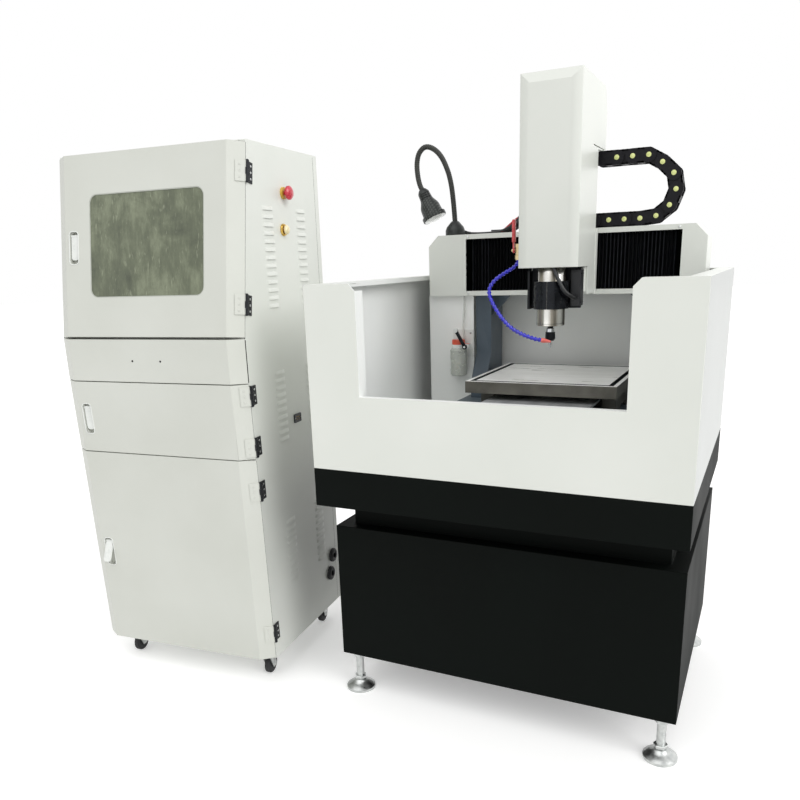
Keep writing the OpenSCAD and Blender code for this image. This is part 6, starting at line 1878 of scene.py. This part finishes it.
# %% Drives
DRIVES = (-120, 0, 120)
TERMINAL_PITCH = 8.9
covers, strips, terminals = bmesh.new(), bmesh.new(), []
for middle in DRIVES:
    bar(covers, (middle - 37, middle + 37), (420.6, 423.2), (468, 590))
    bar(strips, (middle - 36, middle + 36), (415, 423.2), (431, 458))
    terminals += [((middle - 31 + k * TERMINAL_PITCH, 415, z), FRONT) for k in range(8) for z in (438, 451)]
    for left, right in ((-44.6, -41.8), (41.8, 44.6)):
        for k in range(7):
            bar(covers, (middle + left, middle + right), (432 + k * 11, 435 + k * 11), (430, 590))
bar(strips, (-196, -24), (458, 463.2), (330, 346))
terminals += [((-188 + k * 17.2, 458, 338), FRONT) for k in range(10)]
built(covers, "drive_covers", CABINET, LABEL_GREY, "frame", edge=0.4)
built(strips, "terminal_strips", CABINET, TERMINAL_GREEN, "frame", edge=0.5)
screws("terminal_heads", CABINET, terminals, "frame", SCREW_ZINC, 4.6, 1.2, 0.4)
print("terminals:", len(terminals))

# %% [markdown]
# ## Duct and wires
# A slotted duct runs under the drives. Short single wires bend from the terminals down into its slots.

# %% Duct and wires
boxes("cable_duct", CABINET, DUCT_GREY, "frame", [((-232, 232), (486, 514.6), (401, 419))], edge=0.8)
boxes("duct_slots", CABINET, SEAM, "frame",
      [((-228 + k * 8, -224 + k * 8), (485.2, 486.2), (403, 417)) for k in range(57)])
WIRES = ((RED_WIRE, "red", (0, 3)), (CABLE, "black", (1, 4)), (BLUE_WIRE, "blue", (2, 5)))
for colour, name, terminals_used in WIRES:
    loops = bmesh.new()
    for middle in DRIVES:
        for k in terminals_used:
            x = middle - 31 + k * TERMINAL_PITCH
            way = [(x, 414, 436), (x, 406, 424), (x, 418, 410), (x, 450, 407), (x, 487, 410)]
            bent(loops, smooth_path(way, 4), 1.5, 8)
    built(loops, f"drive_wires_{name}", CABINET, colour, "frame")
print("drive wires:", sum(len(used) for _, _, used in WIRES) * len(DRIVES))

# %% [markdown]
# ## Casters
# Each caster swivels under a zinc-plated plate, which four bolts hold to the cabinet's floor. A fork may
# be turned, so its plate is put at the corner that the fork is nearest to.

# %% Caster plates
CAB_D, CASTER_IN = 525, 62
CORNERS = [(x, y) for x in (CASTER_IN - HALF, HALF - CASTER_IN) for y in (CASTER_IN, CAB_D - CASTER_IN)]
plates = bmesh.new()
bolts = []
for i in range(1, 5):
    low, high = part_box(f"caster_fork_{i}")
    at = TO_CABINET @ ((low + high) / 2)
    x, y = min(CORNERS, key=lambda c: (c[0] - at.x) ** 2 + (c[1] - at.y) ** 2)
    bar(plates, (x - 31, x + 31), (y - 31, y + 31), (91.4, 92.9))
    bolts += [((x + s * 24, y + t * 24, 91.4), (0, 0, -1)) for s in (-1, 1) for t in (-1, 1)]
built(plates, "caster_plates", CABINET, ZINC, "frame", edge=0.3)
screws("caster_bolts", CABINET, bolts, "frame", SCREW_ZINC, 9, 3.4, 0.4)
print("caster bolts:", len(bolts))

# %% [markdown]
# ## The cabinet's back
# The back panel is a flat sheet, screwed on round its edge with even gaps.

# %% Back panel screws
BACK = CABINET @ placed((0, CAB_D, 0))
around = [((x, 0, z), (0, 1, 0)) for x in (-298, 298) for z in range(130, 1630, 165)]
around += [((x, 0, z), (0, 1, 0)) for x in range(-204, 205, 102) for z in (112, 1618)]
screws("back_screws", BACK, around, "frame", SCREW_ZINC, 7, 1.8, 0.45)
print("back screws:", len(around))

# %% [markdown]
# ## Fan
# A fan draws warm air out near the top. Behind a guard of wire rings on two crossed arms stand its seven
# blades, in front of a dark opening.

# %% Fan guard and blades
FAN = (150, 0, 1480)
FAN_BLADES = 7
guard = bmesh.new()
for radius in (14, 24, 34, 44, 54):
    turned(guard, [(radius - 1, 2.4), (radius, 1.4), (radius + 1, 2.4), (radius, 3.4), (radius - 1, 2.4)],
           placed(FAN, -90), 40)
for turn in (45, 135):
    arm = bar(guard, (-64, 64), (0.1, 1.7), (-1.2, 1.2))
    bmesh.ops.rotate(guard, verts=arm, matrix=Matrix.Rotation(math.radians(turn), 3, "Y"))
    bmesh.ops.translate(guard, verts=arm, vec=FAN)
built(guard, "fan_guard", BACK, ZINC, "frame")
opening = bmesh.new()
turned(opening, [(0, 0.05), (57, 0.05), (57, 0.5), (0, 0.5)], placed(FAN, -90), 40)
built(opening, "fan_opening", BACK, SEAM, "frame")
blades = bmesh.new()
turned(blades, [(0, 0.4), (19, 0.4), (19, 1.2), (0, 1.2)], placed(FAN, -90), 32)
for k in range(FAN_BLADES):
    prism(blades, [(18, -9), (50, -17), (54, 2), (50, 13), (17, 6)], 0.5,
          Matrix.Translation((FAN[0], 0.4, FAN[2])) @ Matrix.Rotation(2 * math.pi * k / FAN_BLADES, 4, "Y"))
built(blades, "fan_blades", BACK, DRIVE_GREY, "frame")
screws("fan_screws", BACK, [((FAN[0] + x, 0, FAN[2] + z), (0, 1, 0)) for x in (-52, 52) for z in (-52, 52)],
       "frame", SCREW_BLACK, 7, 2.2)
print("fan:", 2 * 57, "mm, with", FAN_BLADES, "blades")
